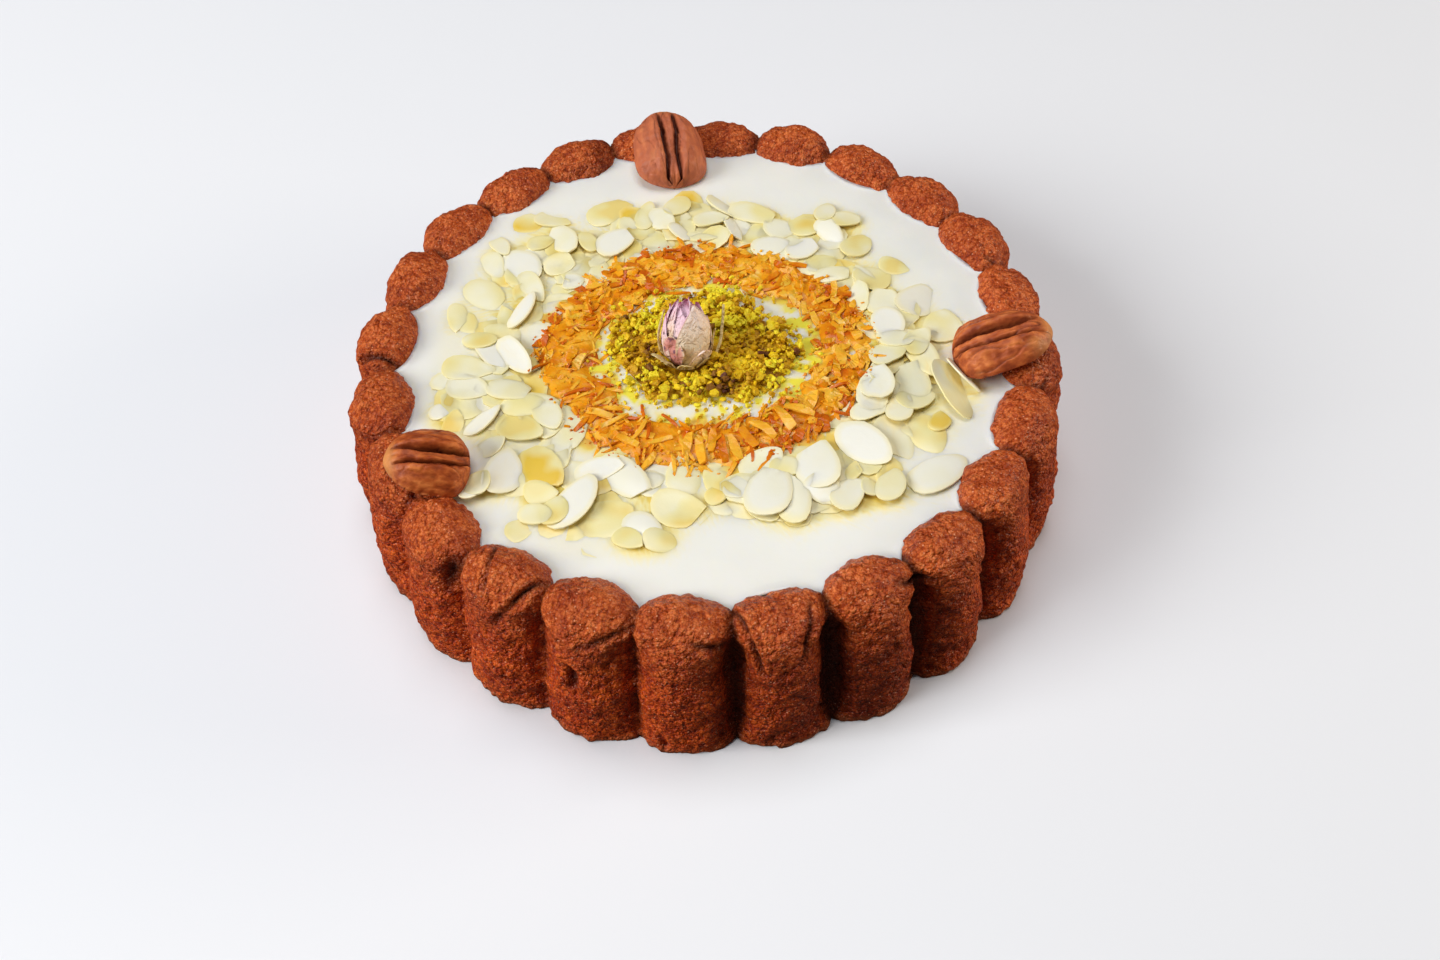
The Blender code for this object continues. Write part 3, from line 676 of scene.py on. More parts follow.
def flake_blank(outline):
    """A round blank with eased rims and a point in the middle of both faces, 1 across."""
    blank = start_with(bpy.ops.mesh.primitive_cylinder_add, "flake", vertices=outline,
                       radius=0.5, depth=1.0)
    bpy.ops.object.mode_set(mode="EDIT")
    bpy.ops.mesh.select_mode(type="FACE")
    bpy.ops.mesh.select_all(action="DESELECT")
    editing = bmesh.from_edit_mesh(blank.data)
    for face in editing.faces:
        face.select = abs(face.normal.z) > 0.5
    bpy.ops.mesh.inset(thickness=0.014, depth=0.0)
    bpy.ops.transform.resize(value=(1.0, 1.0, 1.2))
    bpy.ops.mesh.inset(thickness=0.12, depth=0.0)
    bpy.ops.mesh.inset(thickness=0.15, depth=0.0)
    bpy.ops.mesh.poke()
    bpy.ops.mesh.select_mode(type="VERT")
    bpy.ops.object.mode_set(mode="OBJECT")
    return points_and_faces(blank)


def select_only(*pieces):
    """Select these pieces alone, with the first of them active."""
    bpy.ops.object.select_all(action="DESELECT")
    for piece in pieces:
        piece.select_set(True)
    bpy.context.view_layer.objects.active = pieces[0]


class Pile:
    """Points, faces and masks of many small things, gathered before they become one mesh."""

    def __init__(self):
        self.points = []
        self.faces = []
        self.masks = {}

    def add(self, points, faces, **masks):
        first = len(self.points)
        self.points.extend(points)
        self.faces.extend([first + index for index in face] for face in faces)
        for name, values in masks.items():
            spread = values if isinstance(values, list) else [values] * len(points)
            self.masks.setdefault(name, []).extend(spread)

    def make(self, name, material, crease_deg=0):
        mesh = bpy.data.meshes.new(name)
        mesh.from_pydata(self.points, [], self.faces)
        piece = bpy.data.objects.new(name, mesh)
        bpy.context.scene.collection.objects.link(piece)
        write_masks(piece, **self.masks)
        mesh.materials.append(material)
        if crease_deg:
            select_only(piece)
            bpy.ops.object.shade_smooth_by_angle(angle=math.radians(crease_deg))
        return piece


def flake_rule(length, width, chance, broken):
    """How one almond slice runs: an egg outline, a slight cup and a soft wave, flat in its own frame."""
    tip = chance.uniform(0.18, 0.42)
    cup = chance.uniform(-0.06, 0.04) * length
    bend = chance.uniform(-0.025, 0.025) * length
    phase = chance.uniform(0.0, math.tau)
    cut_slope = chance.uniform(-0.6, 0.6)
    dent = chance.uniform(0.0, 0.12)

    def flake_point(x, y):
        away = 2.0 * math.hypot(x, y)
        angle = math.atan2(y, x)
        wave = 1.0 + 0.05 * math.sin(2.0 * angle + phase) + 0.035 * math.sin(3.0 * angle + 2.0 * phase)
        wave -= dent * bell(angle - phase + math.pi, 0.35)
        along = x * wave
        across = y * wave * (1.0 - tip * (along * 2.0) * (0.5 + abs(along)))
        if broken:
            along = min(along, 0.5 - broken + cut_slope * across)
        return Vector((along * length, across * width, cup * (away * away - 0.5) * 0.5
                       + bend * math.sin(3.0 * along + phase) * away))

    return flake_point


def flake_shape(blank, rule):
    """The points of one slice, and how near its rim each one lies."""
    points = [rule(x, y) + Vector((0.0, 0.0, z * FLAKE_THICKNESS)) for x, y, z in blank[0]]
    return points, [smooth_step(2.0 * math.hypot(x, y), 0.75, 1.0) for x, y, _ in blank[0]]


def ring_points(*rings):
    """Places on rings round a middle; each ring has a radius and a number of places."""
    return [around(radius, math.tau * step / steps) for radius, steps in rings for step in range(steps)]


FLAKE_PROBES = ring_points(*((0.5 * share, 28) for share in (0.25, 0.5, 0.75, 0.9, 1.0)))


def lay(pile, faces, x, y, heading, shape, leans, sink, probes=None, thickness=0.0, **masks):
    """Set a small thing down where it rests on what lies there already, and note its height."""
    probes = probes or shape
    best = None
    for along, across in leans:
        pose = (Matrix.Rotation(heading, 3, "Z") @ Matrix.Rotation(math.radians(-along), 3, "Y")
                @ Matrix.Rotation(math.radians(-across), 3, "X"))
        height = -1.0
        for point in probes:
            off = pose @ point
            height = max(height, level_at(x + off.x, y + off.y) - off.z)
        effort = height + LEAN_EFFORT * (abs(along) + abs(across))
        if best is None or effort < best[0]:
            best = (effort, height, pose)
    _, height, pose = best
    height = CREAM_TOP + (height - CREAM_TOP) * PACKING
    middle = Vector((x, y, height + 0.5 * thickness - sink))
    pile.add([middle + pose @ point for point in shape], faces, **masks)
    for point in probes:
        place = middle + pose @ point
        raise_level(place.x, place.y, place.z + 0.5 * thickness)


chance = random.Random(11)
almonds = Pile()
fine_blank = flake_blank(20)
plain_blank = flake_blank(12)
for _ in range(HIDDEN_FLAKES):
    angle = chance.uniform(0.0, math.tau)
    far = reach_at(ALMOND_REACH_MM, angle) - 0.005
    near = reach_at(COCONUT_REACH_MM, angle)
    x, y = around(math.sqrt(chance.uniform(near * near, far * far)), angle)
    length = chance.uniform(*HIDDEN_LENGTHS)
    width = length * chance.uniform(*HIDDEN_WIDTH_SHARES)
    rule = flake_rule(length, width, chance, chance.choice(HIDDEN_BREAKS))
    shape, rims = flake_shape(plain_blank, rule)
    heading = chance.uniform(0.0, math.tau)
    lay(almonds, plain_blank[1], x, y, heading, shape, RESTING_LEANS, FLAKE_SINK,
        [rule(*probe) for probe in FLAKE_PROBES[::3]], FLAKE_THICKNESS,
        tone=chance.uniform(0.20, 0.80), rim=rims)
for x, y, heading, length, width, along, across, tone in SHOWN_FLAKES:
    broken = CHIP_BREAK if length < CHIP_BELOW_MM else chance.choice(SHOWN_BREAKS)
    rule = flake_rule(length * MM, width * MM, chance, broken)
    shape, rims = flake_shape(fine_blank, rule)
    lay(almonds, fine_blank[1], x * MM, y * MM, math.radians(heading), shape,
        [(along + a, across + b) for a, b in NUDGES], FLAKE_SINK,
        [rule(*probe) for probe in FLAKE_PROBES], FLAKE_THICKNESS, tone=tone, rim=rims)

# Syrup gathers low down between the flakes and shade falls there, so what lies under or close
# beside others is painted golden, as syrup and as painted shade.
NEARBY = ring_points((0.0009, 6), (0.0022, 8), (0.0038, 8))
SYRUP_AND_SHADE_DEPTH = 0.0012
syrup_and_shade = []
for point in almonds.points:
    above = sum(held((level_at(point.x + off_x, point.y + off_y) - point.z - FLAKE_THICKNESS) / SYRUP_AND_SHADE_DEPTH)
                for off_x, off_y in NEARBY)
    syrup_and_shade.append(min(1.0, 2.0 * above / len(NEARBY)))
almonds.masks["syrup_and_shade"] = syrup_and_shade

# What runs out of the flakes stains the cream golden between and just beyond them; the same
# mark is golden painted shade round and under them, shifted a little towards their front right.
STAIN_AND_SHADE_LEAN = (-0.0006, 0.0009)
STAIN_AND_SHADE_PLACES = [(STAIN_AND_SHADE_LEAN[0] + off_x, STAIN_AND_SHADE_LEAN[1] + off_y) for off_x, off_y in ring_points(
    (0.0, 1), (0.0013, 6), (0.0026, 10), (0.0039, 14), (0.0053, 16))]
STAIN_AND_SHADE_FROM = 0.034
STAIN_AND_SHADE_TO = 0.088
almond_stain = []
for vertex in cream.data.vertices:
    x, y, _ = vertex.co
    away = math.hypot(x, y)
    if not STAIN_AND_SHADE_FROM < away < STAIN_AND_SHADE_TO:
        almond_stain.append(0.0)
        continue
    covered = sum(level_at(x + off_x, y + off_y) > CREAM_TOP for off_x, off_y in STAIN_AND_SHADE_PLACES)
    patch = 0.65 + 1.1 * patchy(x, y, 0.02, 75.0)
    halo = smooth_step(reach_at(ALMOND_REACH_MM, math.atan2(y, x)) + 0.004 - away, 0.0, 0.008)
    near = smooth_step(covered / len(STAIN_AND_SHADE_PLACES), 0.0, 0.75) * max(0.30, min(1.0, patch))
    almond_stain.append(max(near, 0.10 * halo * (1.0 if x < 0.0 else 0.5)))
write_masks(cream, almond_stain=almond_stain)

almond_flesh, tree = new_finish(
    "sliced_almond", Roughness=0.34, Subsurface_Weight=0.30, Subsurface_Scale=0.0007,
    Subsurface_Radius=(1.0, 0.92, 0.70))
soft = between(tree, clouds(tree, on_piece(tree), 95.0, 1.0)["Fac"], 0.35, 0.65)
oily = sum_of(tree, (soft, 0.60), start=0.40)
colour = ramp(tree, sum_of(tree, (oily, mask(tree, "tone"))),
              (0.03, (0.85, 0.845, 0.76)), (0.22, (0.84, 0.81, 0.58)), (0.45, (0.82, 0.74, 0.35)),
              (0.80, (0.79, 0.54, 0.055)))
# Golden syrup and painted shade where a flake lies under or close beside others.
colour = stained(tree, colour, "syrup_and_shade", (0.84, 0.61, 0.13), 0.90)
colour = stained(tree, colour, "rim", (0.88, 0.78, 0.38), 0.50)
paint(tree, colour, clouds(tree, on_piece(tree), 420.0, 3.0)["Fac"], 0.00015, 0.4)
almond_flakes = almonds.make("almond_flakes", almond_flesh, crease_deg=40)
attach(almond_flakes, "root")
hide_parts("almond_ring")


# ---------------------------------------------------------------- toasted coconut
# Coconut chips and threads toasted in syrup, in a ring inside the almonds: amber, glossy and
# half clear, stuck together in a thin bed of syrup with crumbs between them.
BED_COLUMNS = 240
BED_SECTION = 32
BED_DEPTH = 0.0012
BED_SINK = 0.0010
BED_MARGIN = 0.0005
BED_REACH = 0.056
CHIPS = 500
THREADS = 170
COCONUT_CRUMBS = 700
CHIP_SPILL = -0.0006
LOOSE_SPILL = 0.0016
SHRED_SINK = 0.0007
SHOWN_SINK = 0.0004
SHOWN_THICKNESS = 0.0007
COCONUT_CRUMB_SIZES = (0.0006, 0.0015)
COCONUT_CRUMB_SINK = 0.0002
# The ring is toasted deepest round these bearings.
DEEP_BEARINGS_DEG = (108.0, -142.0, -52.0)
DEEP_SPREAD_DEG = 22.0
# Long pale strips that show at the front: place, heading, length, width in mm and degrees, tone.
SHOWN_SHREDS = (
    (-2.0, -40.5, -82, 9, 2.8, 0.25), (1.4, -37.0, -96, 8, 2.4, 0.35), (4.2, -40.0, -84, 9, 2.4, 0.75),
    (7.7, -39.5, -72, 9, 3.0, 0.15), (11.5, -36.0, -58, 8, 2.6, 0.5), (-5.5, -38.0, -100, 8, 2.6, 0.1),
    (22.2, -29.5, -60, 9, 3.0, 0.15), (26.5, -27.0, -20, 9, 2.6, -0.05), (-26.0, -29.0, 30, 9, 1.6, 0.05),
    (-30.3, -26.0, -20, 8, 2.2, 0.0), (-18.8, -33.0, 60, 8, 1.2, 0.1), (-13.0, -36.0, 20, 7, 1.6, 0.0),
    (16.0, -33.0, -40, 9, 2.6, 0.3), (30.0, -24.0, 70, 8, 3.0, 0.1), (-22.0, -36.0, -30, 7, 2.2, 0.2),
)


def bed_height(x, y):
    """How far the syrup bed stands above the cream; below zero where there is none."""
    away, angle = math.hypot(x, y), math.atan2(y, x)
    inner = away - reach_at(COCONUT_HOLE_MM, angle)
    outer = reach_at(COCONUT_REACH_MM, angle) - away
    edge = smooth_step(min(inner, outer) + 0.0030 * patchy(x, y, 0.3, 210.0), 0.0, 0.0035)
    edge *= smooth_step(patchy(x, y, 0.25, 150.0), -0.42, -0.18)
    lumps = 0.75 + 0.55 * patchy(x, y, 0.1, 170.0) + 0.25 * patchy(x, y, 0.2, 480.0)
    return BED_DEPTH * edge * lumps - 0.0002


def raise_layer(reach, height_at):
    """Note how high a layer stands above the cream, out to a reach from the middle."""
    cells = round(reach / LEVEL_CELL)
    for column in range(-cells, cells + 1):
        for row in range(-cells, cells + 1):
            x, y = column * LEVEL_CELL, row * LEVEL_CELL
            raise_level(x, y, cream_level(x, y) + max(0.0, height_at(x, y)))


coconut_bed = start_with(bpy.ops.mesh.primitive_torus_add, "coconut_syrup_bed", major_segments=BED_COLUMNS,
                         minor_segments=BED_SECTION, major_radius=1.0, minor_radius=0.25)
bed_tone = []
for vertex in coconut_bed.data.vertices:
    x, y, z = vertex.co
    angle = math.atan2(y, x)
    section = math.atan2(z, math.hypot(x, y) - 1.0)
    inner = reach_at(COCONUT_HOLE_MM, angle) - BED_MARGIN
    outer = reach_at(COCONUT_REACH_MM, angle) + BED_MARGIN
    x, y = around(0.5 * (inner + outer) + 0.5 * (outer - inner) * math.cos(section), angle)
    height = bed_height(x, y) if section > 0.0 else -BED_SINK
    vertex.co = (x, y, cream_level(x, y) + height)
    bed_tone.append(0.45 + 0.6 * patchy(x, y, 0.4, 110.0))
bpy.ops.object.shade_smooth()
write_masks(coconut_bed, tone=bed_tone, rim=0.0)
raise_layer(BED_REACH, bed_height)


def strip_blank():
    """A flat strip of four lengths, one long, one wide and one thick."""
    blank = start_with(bpy.ops.mesh.primitive_grid_add, "strip", x_subdivisions=4, y_subdivisions=1,
                       size=1.0, location=(0, 0, -0.5))
    bpy.ops.object.transform_apply(location=True, rotation=False, scale=False)
    bpy.ops.object.mode_set(mode="EDIT")
    bpy.ops.mesh.select_all(action="SELECT")
    bpy.ops.mesh.extrude_region_move(TRANSFORM_OT_translate={"value": (0, 0, 1)})
    bpy.ops.mesh.select_all(action="SELECT")
    bpy.ops.mesh.normals_make_consistent(inside=False)
    bpy.ops.object.mode_set(mode="OBJECT")
    return points_and_faces(blank)


def shred_shape(blank, length, width, thickness, chance):
    """One curled shred of coconut with torn sides."""
    bend = chance.uniform(-0.20, 0.32) * length
    side = chance.uniform(-0.30, 0.30) * length
    twist = chance.uniform(-0.7, 0.7)
    taper = chance.uniform(0.1, 0.6)
    shape = []
    for x, y, z in blank[0]:
        wide = width * (1.0 - taper * abs(2.0 * x) ** 2.5) * chance.uniform(0.82, 1.12)
        flat = Vector((x * length, y * wide + side * x * x, z * thickness))
        turned = Matrix.Rotation(twist * 2.0 * x, 3, "X") @ Vector((0.0, flat.y, flat.z))
        shape.append(Vector((flat.x, turned.y, turned.z + bend * (0.25 - x * x))))
    return shape


def crumb_blank():
    """A small many-sided crumb, 1 across."""
    return points_and_faces(start_with(bpy.ops.mesh.primitive_ico_sphere_add, "crumb",
                                       subdivisions=1, radius=0.5))


def crumb_shape(blank, size, chance):
    """One broken crumb: squeezed, turned and knocked out of shape."""
    spin = Matrix.Rotation(chance.uniform(0.0, math.tau), 3, Vector(
        (chance.uniform(-1, 1), chance.uniform(-1, 1), chance.uniform(0.1, 1))).normalized())
    squeeze = Vector((1.0, chance.uniform(0.55, 1.0), chance.uniform(0.45, 0.9))) * size
    return [spin @ (point * squeeze * chance.uniform(0.65, 1.25)) for point in blank[0]]


def ring_place(inner_mm, outer_mm, spill, chance):
    """A chance place between two outlines, or within the outer one alone, and a spill past them."""
    angle = chance.uniform(0.0, math.tau)
    inner = max(0.0, (reach_at(inner_mm, angle) if inner_mm else 0.0) - spill)
    outer = reach_at(outer_mm, angle) + spill
    return around(math.sqrt(chance.uniform(inner * inner, outer * outer)), angle)


chance = random.Random(23)
coconut = Pile()
strip = strip_blank()
strip_rim = [smooth_step(abs(point.x), 0.3, 0.5) for point in strip[0]]
crumb = crumb_blank()
SHRED_LEANS = [(along, across) for along in (-14, 0, 14) for across in (-18, 0, 18)]
UPRIGHT = ((0, 0),)
SHRED_TONES = (-0.48, -0.34, -0.18, -0.06, 0.04, 0.14, 0.26, 0.40)
# Least and most length, width and thickness of a shred.
CHIP_SIZES = ((0.0025, 0.0062), (0.0013, 0.0028), (0.0004, 0.0008))
THREAD_SIZES = ((0.0035, 0.0080), (0.0006, 0.0012), (0.0004, 0.0007))
kinds = ["chip"] * CHIPS + ["thread"] * THREADS + ["crumb"] * COCONUT_CRUMBS
chance.shuffle(kinds)
for kind in kinds:
    spill = CHIP_SPILL if kind == "chip" else LOOSE_SPILL
    x, y = ring_place(COCONUT_HOLE_MM, COCONUT_REACH_MM, spill, chance)
    crumbly = smooth_step(-0.6 * x - 0.8 * y, 0.0, 0.030)
    if kind == "chip" and chance.random() < 0.65 * crumbly:
        kind = "thread"
    amber = sum(bell(math.degrees(math.atan2(y, x)) - bearing, DEEP_SPREAD_DEG)
                for bearing in DEEP_BEARINGS_DEG)
    tone = 0.33 + 0.10 * crumbly + 0.32 * amber + 0.60 * patchy(x, y, 0.6, 75.0)
    tone += chance.choice(SHRED_TONES) + chance.uniform(-0.08, 0.08)
    if kind == "crumb":
        shape = crumb_shape(crumb, chance.uniform(*COCONUT_CRUMB_SIZES), chance)
        lay(coconut, crumb[1], x, y, 0.0, shape, UPRIGHT, COCONUT_CRUMB_SINK, tone=tone, rim=0.0)
        continue
    sizes = [chance.uniform(*limits) for limits in (CHIP_SIZES if kind == "chip" else THREAD_SIZES)]
    shape = shred_shape(strip, *[size * chance.uniform(0.85, 1.2) for size in sizes], chance)
    lay(coconut, strip[1], x, y, chance.uniform(0.0, math.tau), shape, SHRED_LEANS, SHRED_SINK,
        tone=tone, rim=strip_rim)
for x, y, heading, length, width, tone in SHOWN_SHREDS:
    shape = shred_shape(strip, length * MM, width * MM, SHOWN_THICKNESS, chance)
    lay(coconut, strip[1], x * MM, y * MM, math.radians(heading), shape, SHRED_LEANS, SHOWN_SINK,
        tone=tone, rim=strip_rim)

toasted, tree = new_finish(
    "toasted_coconut", Roughness=0.26, Subsurface_Weight=0.25, Subsurface_Scale=0.0008,
    Subsurface_Radius=(1.0, 0.6, 0.2), Specular_IOR_Level=0.22, Coat_Weight=0.10, Coat_Roughness=0.10)
pool = clouds(tree, on_piece(tree), 230.0, 2.0)["Fac"]
colour = ramp(tree, sum_of(tree, (mask(tree, "tone"), 0.90), (pool, 0.75), start=-0.16),
              (0.10, (0.96, 0.70, 0.28)), (0.34, (0.90, 0.48, 0.040)), (0.64, (0.82, 0.32, 0.006)),
              (0.95, (0.60, 0.120, 0.004)))
colour = stained(tree, colour, "rim", (0.72, 0.24, 0.003), 0.20)
paint(tree, colour, clouds(tree, on_piece(tree), 900.0, 3.0)["Fac"], 0.0003, 0.6)
coconut_shreds = coconut.make("coconut_shreds", toasted)
coconut_bed.data.materials.append(toasted)
for piece in (coconut_bed, coconut_shreds):
    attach(piece, "root")
    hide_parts("coconut_ring")


# ---------------------------------------------------------------- ground pistachio
# Ground pistachio heaped loosely in the middle: yellow-green crumbs, olive ones and a few larger
# bits with their purple-brown skin, thinning out over the cream at the edge.
MOUND_COLUMNS = 160
MOUND_RINGS = 34
MOUND_DEPTH = 0.0024
MOUND_SINK = 0.0012
MOUND_REACH = 0.034
FINE_CRUMBS = 2100
STRAY_CRUMBS = 300
NUT_BITS = 260
HEAP_SPILL = -0.0005
STRAY_SPILL = 0.0055
FINE_LEAST = 0.0009
FINE_SPREAD = 0.0016
BIT_SIZES = (0.0020, 0.0042)
CRUMB_SINK_SHARE = 0.22
# Where the crumbs are browner: place, half width, half depth in mm, strength.
BROWN_SPOTS = ((-18.0, 0.0, 7.0, 6.0, 1.1), (10.0, -1.0, 8.0, 6.0, 1.1), (7.0, -19.0, 4.0, 3.0, 1.3),
               (8.0, 15.0, 6.0, 3.0, 0.6), (-8.0, -14.0, 6.0, 3.0, 0.6))
BIT_TONES = (0.0, 0.08, 0.14, 0.20, 0.28, 0.36, 0.45, 0.55, 0.70, 0.98)
BUD_FOOT = Vector((-0.0058, -0.0078, 0.0456))
BUD_CLEARING = 0.0062


def mound_height(x, y):
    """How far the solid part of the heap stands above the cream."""
    away, angle = math.hypot(x, y), math.atan2(y, x)
    outer = reach_at(PISTACHIO_REACH_MM, angle) - 0.0015 - away
    edge = smooth_step(outer + 0.0045 * patchy(x, y, 0.7, 150.0), 0.0, 0.0060)
    lumps = 0.7 + 0.5 * patchy(x, y, 0.8, 190.0) + 0.35 * patchy(x, y, 0.9, 620.0)
    return MOUND_DEPTH * edge * lumps - 0.0003


def mound_place(turn, row):
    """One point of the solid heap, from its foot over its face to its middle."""
    angle = math.tau * turn
    if row < 0:
        return Vector((0.0, 0.0, CREAM_TOP - MOUND_SINK))
    share = 1.0 if row == 0 else 1.0 - (row - 1) / (MOUND_RINGS - 1)
    x, y = around((reach_at(PISTACHIO_REACH_MM, angle) + 0.001) * share, angle)
    return Vector((x, y, cream_level(x, y) + (mound_height(x, y) if row else -MOUND_SINK)))


mound = ring_skin("pistachio_mound", MOUND_COLUMNS, MOUND_RINGS)
press(mound, mound_place)
write_masks(mound, tone=[0.55 + 0.5 * noise.noise(vertex.co * 120.0) for vertex in mound.data.vertices])
raise_layer(MOUND_REACH, mound_height)

chance = random.Random(37)
pistachio = Pile()
kinds = ["fine"] * FINE_CRUMBS + ["bit"] * NUT_BITS + ["stray"] * STRAY_CRUMBS
chance.shuffle(kinds)
for kind in kinds:
    spill = STRAY_SPILL if kind == "stray" else HEAP_SPILL
    x, y = ring_place(None, PISTACHIO_REACH_MM, spill, chance)
    if math.hypot(x - BUD_FOOT.x, y - BUD_FOOT.y) < BUD_CLEARING:
        continue
    shade = sum(strength * bell(x - spot_x * MM, across * MM) * bell(y - spot_y * MM, deep * MM)
                for spot_x, spot_y, across, deep, strength in BROWN_SPOTS)
    drift = 0.58 * patchy(x, y, 1.1, 100.0) + 0.26 * shade
    if kind != "stray" and mound_height(x, y) < 0.0 and chance.random() < 0.55:
        continue
    if kind == "bit":
        size = chance.uniform(*BIT_SIZES)
        tone = drift + chance.choice(BIT_TONES)
    else:
        size = FINE_LEAST + FINE_SPREAD * chance.random() ** 2
        tone = 0.26 + drift + chance.uniform(-0.22, 0.22)
    shape = crumb_shape(crumb, size, chance)
    lay(pistachio, crumb[1], x, y, 0.0, shape, UPRIGHT, CRUMB_SINK_SHARE * size, tone=tone)

ground_nut, tree = new_finish(
    "ground_pistachio", Roughness=0.42, Subsurface_Weight=0.15, Subsurface_Scale=0.0008,
    Subsurface_Radius=(1.0, 0.9, 0.2), Specular_IOR_Level=0.25)
grain = grain_of(tree, 1500.0)
colour = ramp(tree, sum_of(tree, (mask(tree, "tone"), 0.85), (grain["Blotch"], 0.20), start=-0.02),
              (0.03, (0.92, 0.82, 0.035)), (0.35, (0.84, 0.56, 0.010)), (0.60, (0.60, 0.31, 0.005)),
              (0.78, (0.28, 0.12, 0.006)), (0.97, (0.13, 0.040, 0.022)))
paint(tree, colour, grain["Height"], 0.0005, 0.7)
pistachio_crumbs = pistachio.make("pistachio_crumbs", ground_nut, crease_deg=38)
mound.data.materials.append(ground_nut)
for piece in (mound, pistachio_crumbs):
    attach(piece, "root")
    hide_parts("pistachio_heap")


# ---------------------------------------------------------------- pecan halves
# Three shelled pecan halves, grooved side up, each with one end on the cream and the other on
# the domed ends: two deep lengthwise grooves, wrinkled lobes and a brown, slightly oily skin.
PECAN_THICKNESS = 0.0092
PECAN_COLUMNS = 192
PECAN_ROWS = 120
LOBE_HEIGHT = 0.78 * PECAN_THICKNESS
BELLY_DEPTH = 0.22 * PECAN_THICKNESS
GROOVE_DEPTH = 0.0030
# Where the grooves lie, how wide their outer and inner walls are, and how wide their painted shade
# line is, as shares of the half width.
GROOVE_SPREAD = 0.20
GROOVE_OUTER_WALL = 0.050
GROOVE_INNER_WALL = 0.075
GROOVE_SHADE = 0.070
GROOVE_LIP = 0.0009
RIDGE_DEPTH = 0.0008
SKIN_FOLDS = 0.00045
SKIN_CREASES = 0.00030
SKIN_PITS = 0.00020
# Name; distance, bearing, heading, tilt, roll and middle height; length, width, wrinkling, how far
# the grooves lie to the side, how rosy the skin is, seed.
PECANS = (
    ("back", (0.0857, 97.5, 97.5, 14, 8, 0.04836), (0.0305, 0.0240, 1.4, 0.02, 0.65, 2.0)),
    ("right", (0.0872, -5.8, 5.0, 19, -8, 0.04944), (0.0290, 0.0225, 1.6, -0.16, 0.10, 9.0)),
    ("left", (0.0893, -149.0, -169.0, 24, -6, 0.04962), (0.0232, 0.0204, 1.0, 0.14, 0.0, 5.0)),
)
nut_skin, tree = new_finish("pecan_skin", Roughness=0.50, Specular_IOR_Level=0.28)
along_nut = shader_node(tree, "ShaderNodeAttribute", attribute_name="nut_place").outputs["Vector"]
stretched = shader_node(tree, "ShaderNodeMapping",
                        {"Vector": along_nut, "Scale": (260.0, 480.0, 420.0)}).outputs[0]
streak = clouds(tree, stretched, 1.0, 4.0)["Fac"]
colour = ramp(tree, streak, (0.32, (0.26, 0.043, 0.009)), (0.50, (0.45, 0.094, 0.018)),
              (0.68, (0.68, 0.190, 0.044)))
patch = ramp(tree, clouds(tree, along_nut, 170.0, 3.0)["Fac"],
             (0.34, (0.80, 0.70, 0.70)), (0.52, (1.0, 1.0, 1.0)), (0.68, (1.14, 1.25, 1.35)))
colour = mixed(tree, 1.0, colour, patch, "MULTIPLY")
# The valley shade is painted shade along the grooves and in the creases.
for mark, shade in (("rosy", (0.50, 0.150, 0.078)), ("pale", (0.74, 0.33, 0.10)),
                    ("valley", (0.055, 0.005, 0.001))):
    colour = stained(tree, colour, mark, shade)
paint(tree, colour, streak, 0.0007, 0.9)

